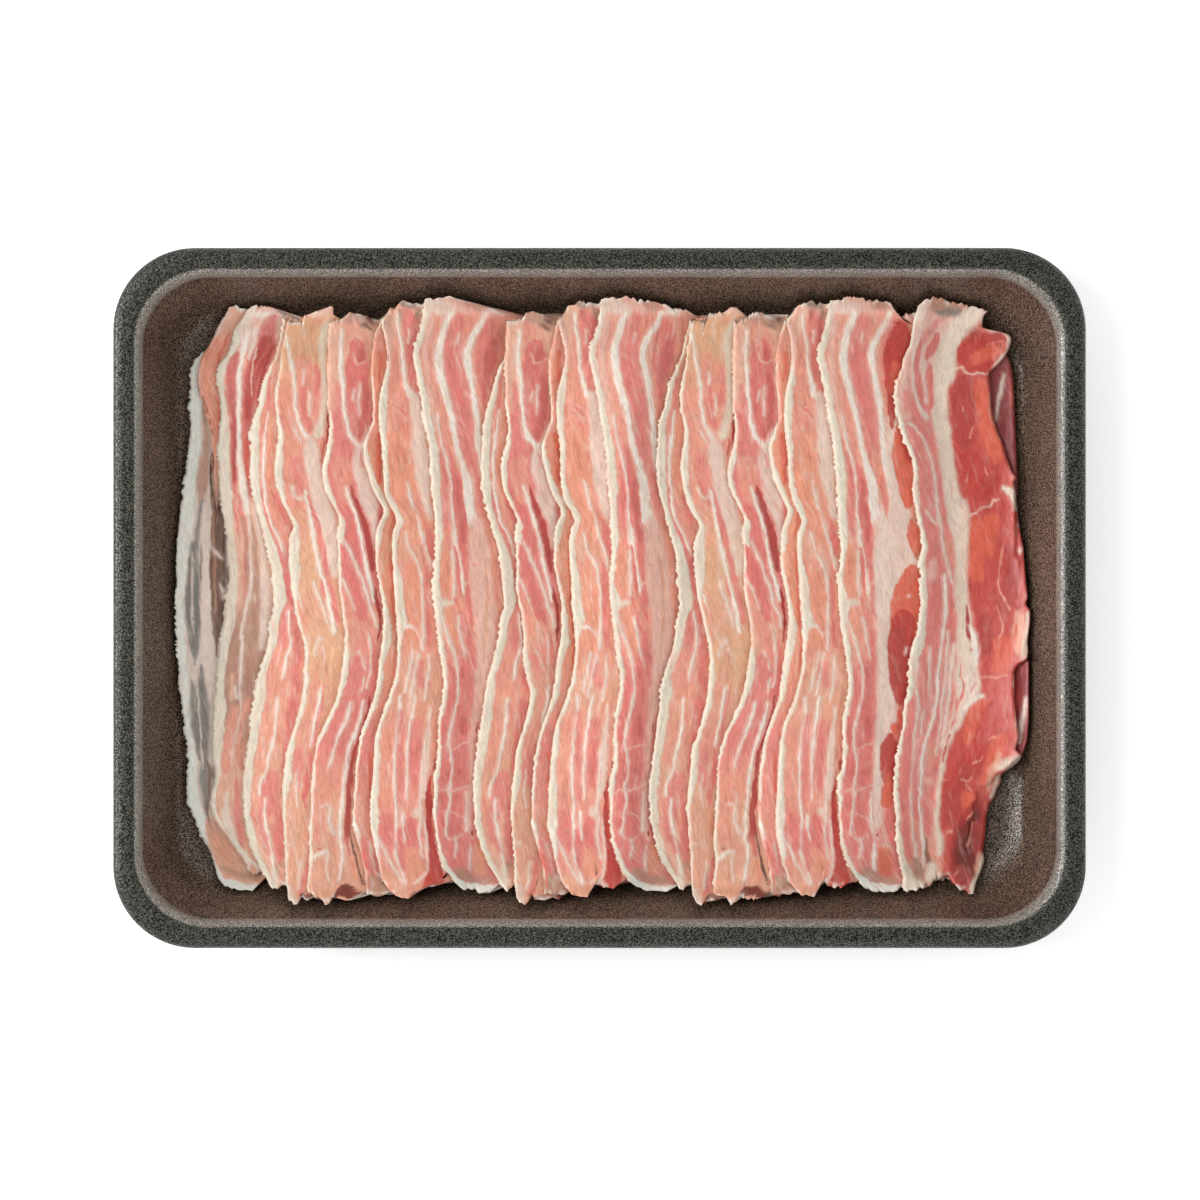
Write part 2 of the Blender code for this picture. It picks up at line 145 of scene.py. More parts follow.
KINDS["b"] = dict(
    rim=((74.5, 5.5), (71.9, 4.3), (70.1, 2.5), (68.1, 1.7), (65.8, 1.7), (63.2, 0.7), (61.7, -0.6),
         (59.1, -1.9), (55.2, -2.2), (52.2, -1.4), (48.3, -1.1), (43.2, -1.6), (38, -2.2), (31.6, -1.6),
         (27.7, -1.4), (20, -0.4), (15.9, 0.2), (10, .5), (6.4, 1.0), (1.5, 0.2), (-4.4, -0.2),
         (-8.5, -0.7), (-12.3, -1.6), (-17, -2), (-23.4, -2.4), (-26.2, -2.9), (-36.5, -3.4), (-41.6, -3.4),
         (-45, -2.4), (-47.5, -2.9), (-50.6, -3.9), (-53, -4.2), (-56, -3.6), (-58.3, -2.4), (-60.4, -1),
         (-62.5, .6), (-64.5, 2.2), (-67, 3.8), (-69.5, 5.6)),
    fat=((75, 3), (70, 2.6), (66, 2.4), (63, 2), (58, 2), (52, 1.7), (47, 2.1), (44, 2.9), (38, 3.5),
         (31, 3.4), (26, 3), (20, 2.4), (14, 2.3), (8, 2.9), (2, 3), (-4, 3.1), (-9, 2.8), (-13, 2.6),
         (-18, 2.2), (-24, 2.6), (-29, 3.4), (-34, 3.1), (-40, 2.4), (-44, 1.8), (-49, 1.4), (-54, 1.7),
         (-58, 1.7), (-62, 1.5), (-66, 1.2), (-70, 1)),
    top=((4, 72.6), (5.2, 74), (6.5, 75), (8.5, 75.6), (10, 75.4), (12, 74.9), (13.6, 74.5), (14.8, 73.4),
         (18, 72.5)),
    bottom=((4.6, -68.6), (6.2, -70.6), (7.6, -71.4), (9.2, -71), (12, -70)),
    lean=((75, "blush"), (68, "blush"), (62, "salmon"), (40, "salmon"), (25, "peach"), (10, "peach"),
          (-8, "umber"), (-20, "umber"), (-30, "umber"), (-46, "peach"), (-58, "tan"), (-72, "tan")),
    strokes=(
        ("pale~", 6, 73, 2.6, 5.6, 69, 3, 5, 65, 2.2),
        ("white~", 7, 73.4, 2.2, 9, 73.4, 1.6, 12, 73.6, 1.2),
        ("brick~", 3.4, 63, 1.2, 2.4, 60, 3, 1.8, 56, 2.8, 1.7, 52, 2.6, 2.2, 48, 2, 2.4, 43, 1.8, 2.4, 38,
         1.8, 2.6, 33, 1.8, 2.7, 29, 1.6, 2.4, 27, .5),
        ("deep~", 2.6, 50, .8, 2.7, 45, 1, 2.7, 40, 1, 2.5, 34, .9, 2.5, 30, .6),
        ("white", 5.6, 68, .8, 5.1, 65, 1, 4.4, 61, 1, 3.8, 57, 1, 3.7, 50, 1, 3.8, 44, 1, 3.9, 38, 1.1,
         4.3, 34, 1.5, 4.8, 30, 1.7, 5.3, 26, 1.8, 5.8, 22, 1.2),
        ("brick~", 12.6, 72.6, 2, 11.4, 69, 4, 10.6, 65, 5, 8.8, 60, 5.8, 7.3, 56, 5, 6.9, 52, 4.4, 6.3, 48,
         3.6, 5.7, 44, 2.4, 5.6, 40, 2.2, 5.5, 36, 1.6, 5.8, 32, 1.2, 6.4, 29, 1, 6.9, 26.5, .6),
        ("deep~", 10.6, 66, 3, 9, 61.5, 4, 7.2, 57, 2.6, 6.4, 52, 2.6, 6, 47, 1.6),
        ("flame~", 5.6, 41, 1.2, 5.6, 36, 1.2, 6, 31, .8),
        ("blood~", 12.6, 65, .8, 11.2, 61, .8, 9.8, 57, .7, 8.9, 53, .6, 8.7, 50, .4),
        ("blush", 8.4, 64.5, .5, 7.4, 61, .4, 7.1, 57, .3, 7, 52, .2),
        ("pale", 8.2, 69, 1, 7.4, 66, .8, 6.4, 62, .5),
        ("rose~", 2.3, 25, .7, 2.8, 21, .6, 3.5, 17, .7),
        ("peach~", 3.9, 14, 1, 4.2, 8, 1, 4, 2, 1.2, 3.6, -3, 1.2),
        ("rose~", 2.8, 27.6, .4, 3.8, 25, 2, 4.2, 22, 1.6, 5, 19, 1.8, 5.6, 15, 1.6, 5.7, 10, 1.4, 5.7, 5,
         1.6, 5.7, 1, 1, 5.2, -2, .5),
        ("umber~", 4.4, 21, .8, 5.4, 16, 1, 5.7, 8, 1, 5.8, 2, .8),
        ("umber~", 6.4, 21, .6, 7, 18, .9, 7.5, 14, 1.2, 7.8, 9, 1.8, 8, 4, 2.2, 7.9, -1, 2.6, 7.4, -5, 3,
         7, -10, 3.4, 7.2, -15, 3, 6.8, -20, 2.6, 6.2, -25, 3),
        ("umber~", 7.9, 8, 1, 8.1, 2, 1.4, 7.6, -4, 1.4, 6.4, -8, 2),
        ("pale", 6.2, 21, .4, 6.6, 15, .35, 6.6, 9, .4, 6.7, 4, .5, 6.2, 0, .6, 5.4, -3, .6, 4.8, -7, .5,
         4.4, -10, .5),
        ("pale~", 8, 24, 1.6, 8.6, 19, 1.4, 9.2, 15, 1.4, 10, 10, 2, 10.4, 4, 2.4, 10.6, -2, 2.6, 10, -8,
         2.2, 9.6, -13, 1.4),
        ("umber~", 3.6, -9.5, .6, 2.8, -13, 2, 2, -17, 3, 1.9, -22, 2.8),
        ("peach~", 2, -20, 1, 2, -26, 1.4),
        ("pale", 4.2, -10, .5, 4.5, -13, .6, 4.4, -16, .7, 4.1, -20, .7, 3.7, -24, .6, 4.4, -28, .4, 3.9,
         -31, .45, 3, -34, .45, 2.3, -37, .4, 1.8, -40, .4, 1.5, -44, .3),
        ("white~", 2.6, -23, .5, 3, -26, .7),
        ("salmon~", 6, -27, 2.2, 5.4, -31, 2.4, 4.8, -35, 2.4, 4, -39, 2.4, 3.6, -43, 1.6),
        ("umber~", 5.8, -30, 1, 5, -35, 1.2, 4.2, -39, .8),
        ("salmon~", 2.6, -29, 2, 1.6, -34, 2.4, .6, -39, 2.4, .4, -44, 2.6),
        ("rose~", 3.2, -47, .8, 3, -51, 1.2, 3, -55, 2.2, 3.6, -59, 1.8, 4.2, -63, 1.2, 4.8, -65.4, .4),
        ("pale", .6, -50, .6, .4, -54, .7, 1.4, -58, .7, 2.6, -62, .6, 4.2, -65.5, .6, 6.4, -68, .6, 8.4,
         -69.8, .4),
        ("orange", -3, -56.6, .3, -1.2, -59.4, .4, .8, -62, .4, 2.6, -64.6, .4, 4.4, -67, .3, 6, -69, .3),
        ("cream", -.6, -55, .8, .4, -58.6, 1, 2, -61.6, 1, 4, -64.6, 1, 6, -67, .8, 8, -69, .7),
    ),
)
KINDS["c"] = dict(
    rim=((71.9, 3.1), (69.4, 2.3), (65, 1.3), (61.7, 0.3), (59.9, -0.8), (56, -2.3), (52.9, -3.3),
         (49.6, -3.8), (47, -4.9), (43.7, -5.4), (40.6, -5.5), (34.2, -5.9), (30.3, -5.7), (25.2, -4.7),
         (18.5, -3), (11.3, -1), (6.4, -0.4), (0.8, 0), (-2.1, 0.3), (-5.7, -0.6), (-10.8, -1.3),
         (-14.4, -2.1), (-17.5, -3.2), (-21.3, -4.1), (-26.2, -4.9), (-39.3, -6.7), (-49.1, -7.9),
         (-56, -7.6), (-59.1, -7.2), (-65.5, -5.3), (-68.5, -4), (-71.4, -2.4), (-73.5, -.8)),
    fat=((70, .4), (62, .6), (57, 1.3), (52, 1.7), (48, 1.9), (44, 2.2), (38, 2.5), (31, 2.6), (26, 2.1),
         (20, 2), (15, 2.4), (10, 3), (5, 3.2), (0, 3.7), (-4, 2.6), (-9, 2.4), (-15, 2.4), (-20, 2),
         (-25, 2.9), (-30, 2.8), (-36, 2.6), (-42, 2.3), (-48, 2.4), (-54, 2.1), (-60, 2.2), (-65, 1.8),
         (-69, 1.8), (-72, 1.6), (-76, 1.6)),
    top=((1, 71), (3.2, 72.2), (4, 71.6), (5, 72.6), (6.6, 72.4), (7.4, 72.8), (12, 72.5)),
    bottom=((-1.2, -73.2), (0, -75), (1.2, -75.6), (2, -74.8), (3, -74.2), (6, -74.4), (12, -75)),
    lean=((72, "tan"), (60, "tan"), (50, "salmon"), (30, "salmon"), (10, "pink"), (0, "pink"),
          (-10, "salmon"), (-30, "salmon"), (-45, "tan"), (-56, "salmon"), (-68, "peach"), (-76, "peach")),
    strokes=(
        ("salmon~", .5, 61, .6, .6, 57, 1, .2, 54, 1),
        ("rose~", -.4, 57, .6, -.8, 53, .8, -1, 50, .9, -2, 45, .6, -2.9, 39, .4, -2.9, 33, .4),
        ("orange~", -.2, 48, .9, -.8, 44, 1.6, .2, 42, 1.4, -.8, 38, 1.8, -.8, 32, 1.6, -.4, 27, 1.4),
        ("white", -1, 48, .3, -1.6, 44, .4, -2, 40, .5, -2.3, 36, .5, -2.3, 31, .5, -1.8, 27, .5, -1.5, 24,
         .55, -.6, 20, .5, .5, 17.6, .5, 1.7, 15, .5, 2.6, 12.6, .5, 3, 10.5, .3),
        ("rose~", -2.6, 28, .4, -2.2, 24, .6, -1.3, 20, .6, .9, 15.4, .8, 2.2, 12, .8, 3.4, 9, 1.3, 3.9, 5,
         1.3, 4.3, 1, 1, 4.9, -2, .7),
        ("salmon~", .4, 25, 2.4, 1.8, 21, 3.6, 3.4, 17, 2.4, 3.8, 14, 1.4),
        ("rose~", 1, 26, 1, 2.4, 22, 1.4, 3.4, 19, .9),
        ("pink~", 3.3, -4, .7, 3.2, -7, 1.8, 3, -10, 2.6, 2.6, -13, 2),
        ("white", 4.2, -4, .5, 4.4, -7, .4, 4.8, -10, .35, 4.6, -13, .35, 3.6, -16, .5, 3, -19, .6, 2.4,
         -21.5, .3),
        ("rose~", 5.2, -4, 1, 5.8, -7, 1.4, 6.3, -10, 2.2, 6.6, -13, 2.4, 6.2, -16, 1.6),
        ("salmon~", 1.4, -14, 2.4, 1, -18, 3, .8, -22, 3),
        ("rose~", 7.2, -14, .4, 6.6, -17, 2, 6, -20, 3.2, 6, -23, 3.2),
        ("orange~", 7.4, -9, .7, 7.6, -14, .5, 7.4, -20, .6),
        ("salmon~", 3, -24, 6, 2, -28, 3),
        ("rose~", 5.4, -27, 2.8, 5, -31, 3, 4.4, -35, 2.6, 3.6, -40, 2, 2.8, -45, 1.2),
        ("tan~", .2, -27, 2, -.6, -31, 2),
        ("white", 1.3, -26, .4, .8, -33, .45, .1, -37, .5, -.6, -40, .5, -1.3, -43, .35, -1.8, -46, .3),
        ("deep", -.4, -45, .2, -.8, -46, .5, -1.4, -46.8, .3),
        ("salmon~", -2.4, -38, 2.4, -3, -43, 2.6),
        ("pink~", 0, -46, 3, -.8, -50, 5, -1.4, -54, 4, -2.6, -57, 2.4, -2.6, -62, 1.6),
        ("white", -2.2, -46, .3, -3, -48, .5, -3.5, -51, .3),
        ("white", -1.9, -52, .3, -2.1, -56, .5, -1.4, -60, .7, -.6, -64, .7, .2, -68, .5, .6, -71, .3),
        ("rose~", 1.4, -53, .8, 1.6, -57, 2.2, 1.6, -61, 2.8, 1.7, -65, 2.4, 1.8, -68, 1.8),
        ("rose~", 2, -60, 1, 2.2, -66, 1),
        ("pink~", -2, -62, 2, -.9, -65.5, 1.4),
        ("umber~", 1.8, -69, 2, 2.2, -72, 1.6),
        ("orange~", 2.2, -70, 1, 2.5, -73, .8),
        ("cream~", .2, -70, 1.2, .8, -74, 2),
    ),
)
KINDS["d"] = dict(
    rim=((73.2, 1.6), (71.4, -1.5), (66.3, -2.3), (58.6, -3.3), (52.9, -4.4), (49.6, -4.4), (47, -4),
         (41.9, -3.3), (38, -4.1), (32.9, -4.6), (29, -3.9), (26.5, -3.1), (24, -2.3), (21.1, -0.7),
         (18.5, .7), (15.9, -0.6), (12.3, -0.8), (3.3, -0.4), (-2.6, 0.6), (-6.4, 1.4), (-10.8, 2.9),
         (-14.9, 3.2), (-21.3, 2.8), (-26.2, 2.4), (-32.6, 0.8), (-39.3, -1.3), (-47.8, -2.3),
         (-55.7, -2.6), (-65.5, -1.7), (-74, -1.6), (-76.4, -1.2)),
    fat=((72, .2), (58, .5), (50, .8), (45, .9), (42, 1.4), (38, 2), (34, 2.4), (30, 1.9), (26, 1.3),
         (21, 1.2), (18, 1.5), (15.5, 2.5), (10, 2.8), (4, 2.5), (1, 1.6), (-2, .8), (-5, 1.1), (-10, .9),
         (-15, .9), (-20, 1.5), (-25, 1.7), (-30, 1.4), (-35, 1.2), (-40, 1.9), (-45, 2.2), (-49, 1.8),
         (-53, 1), (-60, .5), (-76, .5)),
    top=((-2, 71.2), (-1, 71.6), (0, 71.8), (1.4, 71.4), (2.4, 71.4), (3.2, 73.6), (4.4, 73.1), (6, 74),
         (8, 74.6), (9.3, 75.3), (10.9, 75), (11.2, 73), (9.9, 71.9), (12, 71.6), (14, 72)),
    bottom=((-1.7, -74), (-1.2, -77), (-.3, -78.4), (1, -79), (1.8, -78.4), (2.2, -77), (2.8, -77.2),
            (4, -77.8), (5.6, -77.8), (7.4, -77.6), (9, -77.8), (12, -77)),
    lean=((72, "amber"), (62, "amber"), (52, "salmon"), (38, "salmon"), (24, "salmon"), (10, "amber"),
          (-4, "tan"), (-14, "amber"), (-26, "tan"), (-38, "salmon"), (-50, "tan"), (-78, "tan")),
    strokes=(
        ("blush~", 3.4, 72.6, .8, 6, 73.6, 1.4, 10, 74.2, 1.6),
        ("orange~", 6.6, 71.4, 1.6, 9, 71.8, 1.2),
        ("cream~", 9.6, 72, 1.2, 8.4, 69, 2, 7.9, 66, 2.4, 8, 63, 1.8, 8.2, 59, 1.6, 8.4, 54, 1.8, 8.4, 50,
         1.8, 7.8, 46, 2, 6.8, 42.5, 3),
        ("salmon~", 2.6, 62, 3, 3.6, 58, 6, 4.2, 54, 6.4, 4.2, 50, 5.6, 4.4, 47, 4.4, 4.6, 44.5, 2.6, 4.6,
         43, 1),
        ("rose~", 3, 57, 1.2, 3, 52, 2, 3.4, 48, 2, 4.2, 45, 2, 4.6, 43.4, .8),
        ("rose~", 6.2, 60, 1, 6.6, 56, 1.2, 5.8, 50, 1.4),
        ("white", -1.5, 68, .4, -.8, 65, .5, -.3, 62, .5, .2, 59, .5, .6, 56, .5, 1, 53, .5, .9, 50, .5,
         1.2, 48, .6, 1.8, 45.5, .7, 2.6, 43.4, .8, 3.6, 41.8, 1),
        ("pale", 3.2, 58.4, .2, 3, 55, .4),
        ("pale", 4.5, 53, .2, 4.8, 50, .5, 4.5, 47, .3),
        ("pale~", 4.4, 41.2, 1.6, 4.8, 39, 3.4, 5, 36, 4.4, 5.6, 33, 4, 6.1, 30, 3.6, 6.8, 27, 4, 7.4, 25,
         4.2, 8.4, 22, 4.2, 9.4, 19, 4.2, 10.2, 15, 4, 10.8, 11, 3.6, 11.4, 7, 3),
        ("salmon~", -1, 47, 3.6, -.4, 43, 3.2, .2, 39, 4, .6, 35, 4.6, 1, 31, 5, 1.2, 27, 5.2),
        ("pink~", .6, 36, 2, 1.6, 32, 2.4, 2, 28, 2.2),
        ("pale", .5, 43.5, .3, 1.5, 41.8, .4, 2.5, 40.3, .3),
        ("pale", 0, 28.4, .4, .8, 26.6, .5, 2, 25.8, .4, 3.2, 26, .3),
        ("blood", 9.4, 48, .3, 9.4, 45.5, .6, 9.5, 43, .7, 9.3, 41, .5, 9, 39.6, .2),
        ("deep", 8.4, 41, .2, 8.1, 39, .4, 7.9, 37, .2),
        ("white", 3.6, 27.5, .5, 4.2, 24, .6, 4.8, 20.5, .6, 5.4, 17, .7, 6, 14, .7, 6.6, 11, .7, 7.2, 8,
         .7, 7.9, 5.5, .7, 8.6, 3, .7, 9.3, 0, .8, 10, -3, .8, 10.5, -6, .8, 11, -9, .7),
        ("pink", 3.9, 28.4, .3, 4.8, 25, .8, 5.6, 22, 1.2, 6.5, 19, 1.5, 7.2, 16, 1.6, 7.8, 13, 1.5, 8.5,
         10, 1.5, 9.1, 7, 1.4, 9.8, 4, 1.3, 10.5, 1, 1.3, 11.2, -2, 1.3, 11.9, -6, 1.3),
        ("pink", 7.5, 5.5, .2, 7.9, 3, .8, 8.3, 1, .8, 8.9, -.8, .2),
        ("pale", 5.6, 4, .4, 6.3, 2, .5, 7.1, 0, .5, 7.9, -2, .5, 8.7, -4.4, .5, 9.2, -6.4, .4),
        ("white~", 1.8, 1, .5, 2.2, -1.4, .5, 3, -4, .3),
        ("orange~", 1.4, -1, .6, 3, -5, 1.6, 3.6, -9, 1),
        ("pale~", 7.4, -10.6, 1.2, 6.4, -12, 1, 5.8, -15, .6, 8, -13, .8, 8.6, -17, .5),
        ("tan~", 7.4, -14, 2, 8, -19, 2),
        ("salmon~", 6, -21, 2, 5.6, -26, 2.4, 5, -31, 2, 4.2, -36, 1.6),
        ("pink", 8.4, -22, .4, 7.8, -26, .9, 7, -29, 1.3, 6.4, -33, 1, 5.8, -37, .7),
        ("white", 7.4, -23, .4, 6.8, -27, .6, 6, -31, .55, 5.4, -34.5, .5, 4.8, -38, .4),
        ("pink~", 2, -40, 2, 1.8, -44, 2.6, 1.6, -48, 2),
        ("rose", 4.8, -39.4, .3, 4.7, -42, 1.1, 4.2, -45, 1.7, 3.7, -48, 1.8, 3.2, -51, 1.3, 3.4, -53.6,
         .6),
        ("orange~", 3, -55, 1, 3.4, -58.5, 1.4, 3.9, -62, .7),
        ("pale", -1.3, -63.6, .3, -.4, -63.4, .4),
        ("pale~", 1.4, -45, .5, 1, -50, .5, 1.6, -54, .4),
        ("rose~", 4.3, -66, .5, 4, -70, 1.5, 3, -74, 1.8, 2.4, -76, 1),
        ("pale", 2.4, -68, .3, 2, -72, .3, 1.7, -75, .3),
        ("bark", 2.6, -76.6, .8, 4, -77.2, 1.6, 6, -77.4, 1.6, 9, -77.4, 1.6, 12, -77, 1.4),
        ("pale~", -.6, -75, 1.4, .6, -78, 1.6),
    ),
)
KINDS["e"] = dict(
    rim=((71.9, -2.7), (66.3, -3), (58.6, -3.2), (50.9, -3.2), (47, -2.7), (43.2, -2.5), (39.3, -3),
         (36, -3.9), (32.9, -4.5), (30.3, -4.3), (27.7, -3.8), (25.2, -2.5), (22.5, -1), (20.6, 0),
         (18.5, -.2), (17.2, -0.9), (15, -.6), (13.4, -0.3), (8.5, -0.3), (2.1, -0.2), (-2.1, 0.5),
         (-6.4, 1.2), (-10.8, 1.6), (-14.9, 1.1), (-19.3, 0.5), (-26.2, -0.9), (-30.5, -2.9), (-34.7, -4.9),
         (-38.5, -6.2), (-42.6, -6.9), (-55.7, -7.6), (-62.9, -8), (-68.8, -7.6), (-73.5, -8.2), (-75, -8)),
    fat=((72, .2), (56, .4), (49, .5), (46, .9), (42, 1.3), (37, 1.7), (33, 1.6), (27, 1.4), (24, 1.2),
         (21, 1.1), (18, 2), (15, 1.9), (12, 1), (4, .7), (0, .7), (-4, 1.1), (-9, 1.3), (-13, 1.8),
         (-17, 2), (-22, 1.9), (-26, 1.4), (-31, 1.1), (-36, 1.1), (-40, .7), (-46, .6), (-56, .4),
         (-61, .9), (-67, .6), (-76, .2)),
    top=((-4, 71.4), (-1.5, 71.6), (0, 72), (1, 72.8), (2, 73.5), (3.6, 73.9), (5.4, 73.6), (6.6, 72.9),
         (8.4, 72.2), (9.8, 71.8), (11, 73), (14, 74)),
    bottom=((-8.3, -74.6), (-7.8, -76), (-6.5, -76.9), (-5, -77.3), (-4.2, -77.6), (-3.6, -79),
            (-2.6, -78.6), (-1.6, -77), (0, -77.4), (2, -77.8), (4, -77.4), (6, -76.2), (8, -76),
            (12, -76)),
    lean=((74, "umber"), (69, "peach"), (60, "peach"), (46, "pink"), (36, "pink"), (20, "rose"),
          (4, "pink"), (-8, "salmon"), (-20, "pink"), (-36, "pink"), (-48, "salmon"), (-56, "tan"),
          (-78, "tan")),
    strokes=(
        ("peach~", -1.6, 68, 2.6, -1.6, 60, 3, -1.4, 54, 3, -.8, 49, 2.4),
        ("pink~", -.6, 55, 1.4, -.2, 49, 2, 0, 44, 3, 0, 38, 3.6),
        ("salmon~", 3.6, 70, 4, 4.4, 66, 6.6, 4.4, 60, 7, 4.4, 55, 6.4, 4.6, 50, 6.4, 4.7, 46, 5.2, 4.6, 43,
         3.6, 5, 40.8, .8),
        ("rose", 4.6, 65, 4, 4.6, 60, 6, 4.5, 55, 6.2, 4.7, 50, 6.2, 4.7, 46, 5.2, 4.7, 43, 3.4, 5.2, 40.8,
         .8),
        ("brick~", 6.2, 57, 1.4, 6.8, 53, 2, 6.8, 49, 2, 6, 45, 2, 5.2, 42, 1),
        ("brick~", 5.8, 63.4, 2, 5.6, 61.6, 2.4),
        ("umber~", 2, 72, 2, 4.4, 72.6, 3, 6, 71, 2),
        # painted shade near the top end
        ("gloom~", 7.2, 72, 1.2, 8.6, 71.2, 1.6),
        ("brown~", 6.4, 70.6, 1, 8, 69.6, 1),
        ("white", .6, 69, .5, .3, 64, .7, .4, 60, .7, .8, 56, .7, 1.1, 52, .7, 1.3, 49, .7, 1.6, 46.5, .7,
         2.1, 44, .8, 2.8, 41.7, 1, 3.9, 40.3, 1, 5, 39.4, 1.2),
        ("blush~", 3.6, 63, .3, 4.1, 61, .5, 5.6, 60.3, .4, 7.4, 61.4, .3),
        ("blush", 2, 67, .2, 4, 66, .3),
        ("pale", 5.2, 55, .2, 5, 51, .4, 5.2, 47.4, .2),
        ("pale", 4, 53.4, .2, 3.6, 51, .4),
        ("white~", 8.8, 45, 1, 7.8, 42.4, 1.7, 6.8, 40, 2.2),
        ("peach~", 9, 66, 1.4, 8.6, 60, 1.4, 8.5, 54, .9, 8.8, 49, .8),
        ("pale~", 5.7, 38.4, 3, 5.3, 35, 3.8, 5.7, 32, 3.8, 6.2, 30, 3.8, 6.9, 27, 4, 7.6, 25, 4.4, 8.6, 21,
         2.6, 9.2, 17, 1.6, 9.4, 13, 1),
        ("pink~", 5.6, 37, .5, 6, 34, .6),
        ("salmon~", .4, 34, 5, 1, 30, 4.6, 1.4, 26, 3.6),
        ("deep", 3.1, 29, .2, 3.5, 27, .9, 4.4, 24.6, 1.5, 5.2, 22, 1.6, 6.2, 19, 2, 7.2, 15.5, 2, 7.8, 12,
         1.9, 8.3, 9, 1.2, 8.8, 7, .6),
        ("rose~", .8, 23, 2.6, 3, 20, 2.6, 3.6, 16, 2.8, 4.6, 12, 2),
        ("rose", .5, 14, .4, 1, 12, 1.4, 1.7, 9, 2.2, 2.6, 6, 2.8, 3.6, 2, 3.4, 5, -2, 3.4, 6, -5, 2.4),
        ("white", 1.7, 28.6, .4, 2.4, 26.4, .5, 3, 24.3, .6, 4, 21.4, .6, 4.8, 18.8, .6, 5.4, 16, .6, 5.9,
         13, .6, 6.5, 10, .7, 7.2, 7.4, .7, 7.9, 4.6, .7, 8.5, 1.6, .7, 9, -.8, .5),
        ("pale", 1.7, 14.5, .3, 2.6, 12.5, .5, 3.6, 10, .6, 4.6, 8, .6, 5.4, 6, .6, 6.1, 4, .6, 6.9, 1.6,
         .6, 7.6, -1, .6, 8.3, -3, .6, 9, -5, .6, 9.6, -7.4, .5),
        ("pale", .7, 5, .3, 1.5, 3.4, .5, 2.4, 1.2, .4, 3.2, -1, .3, 3.8, -3, .2),
        ("salmon~", 1.4, 1, 1.4, 2.8, -4, 2.4, 3.6, -9, 3),
        ("tan~", 3, -11, 2, 3.4, -14, 1.6),
        ("blood", 9.2, 2.6, .3, 9.6, 0, .8, 10.1, -2.6, .9, 10.4, -5, .8, 10.5, -7, .7, 10.2, -9, .6, 9.9,
         -11.4, .3),
        ("rose~", 8.5, -11, .5, 9, -14, 1.2, 9.1, -18, 1.2, 8.8, -21, 1.1, 8.2, -25, 1.1),
        ("pale~", 7.6, -9, .5, 8, -13, .6, 8, -18, .5, 7.2, -23, .6),
        ("pale", 5, -14, .3, 5.8, -16, .4, 6.8, -18.4, .3),
        ("pink~", 4.6, -16, 2.4, 4.6, -21, 3.2, 3.6, -25, 3),
        ("pale~", 6.6, -20.6, .5, 6, -24, .6),
        ("deep", 7.8, -25.6, .6, 7.3, -29, .6, 6.4, -32.4, .6, 5.2, -36, .7, 4.2, -38.6, .9, 3.4, -41.6, 1,
         3, -45, 1.2, 2.5, -50, 1.4, 2.2, -55, 1.5, 2.1, -58, 1.5, 2.2, -61, 2),
        ("rose~", 5.2, -27.6, 1.6, 3.4, -32, 2, 1.6, -36, 2, .4, -40, 1.6),
        ("white", 2.9, -27, .4, 2.2, -30, .5, 1, -33, .5, 0, -35.6, .5, -1, -38, .4, -2, -41, .4, -3, -45,
         .3),
        ("white", 6, -27, .5, 5.3, -31, .6, 4.3, -34, .7, 3.2, -37, .7, 2.3, -40, .6, 1.6, -44, .6, 1.2,
         -48, .6, .8, -52, .6, .4, -56, .6, .2, -60, .7, .6, -64, .6, .9, -67, .5, .4, -70, .4, 0, -73, .3),
        ("salmon~", -4, -44, 3, -4, -50, 3.6, -5, -56, 3, -5, -62, 3),
        ("pale~", -6.6, -46, .6, -6.8, -50, .5, -7, -56, .6),
        ("pale", -2.4, -54, .3, -2.6, -57, .5, -1.6, -60, .5, -.7, -62.6, .3),
        ("pale", -4.6, -53.4, .3, -3, -53, .3),
        ("deep", -5.8, -64.7, .2, -4.8, -64.8, .4, -4.2, -64.9, .2),
        ("white", -7.6, -67.4, .5, -6, -66.6, .6, -4, -65.6, .6, -2.8, -65.4, .3),
        ("salmon~", -1.6, -62, 1.6, -1, -66, 1.4),
        ("pale", -2.9, -66, .3, -3.2, -70, .3, -2.7, -73, .3),
        ("brick~", 1.8, -62, 1.8, 3, -66, 1.2),
        ("orange~", 3.2, -68, 1.6, 4, -72, 1.6),
        # painted shade: a thin dark line beside the orange piece
        ("gloom", 3, -61, .3, 4, -65.6, .5, 5.1, -70.6, .5, 6.2, -74, .4),
        ("bark", -1.2, -77, 1, .4, -75.8, 2, 2, -75.6, 3, 4, -76.6, 2, 7, -76.6, 1.4),
        ("white", -4.2, -78.4, .6, -2.8, -77.6, .7),
    ),
)
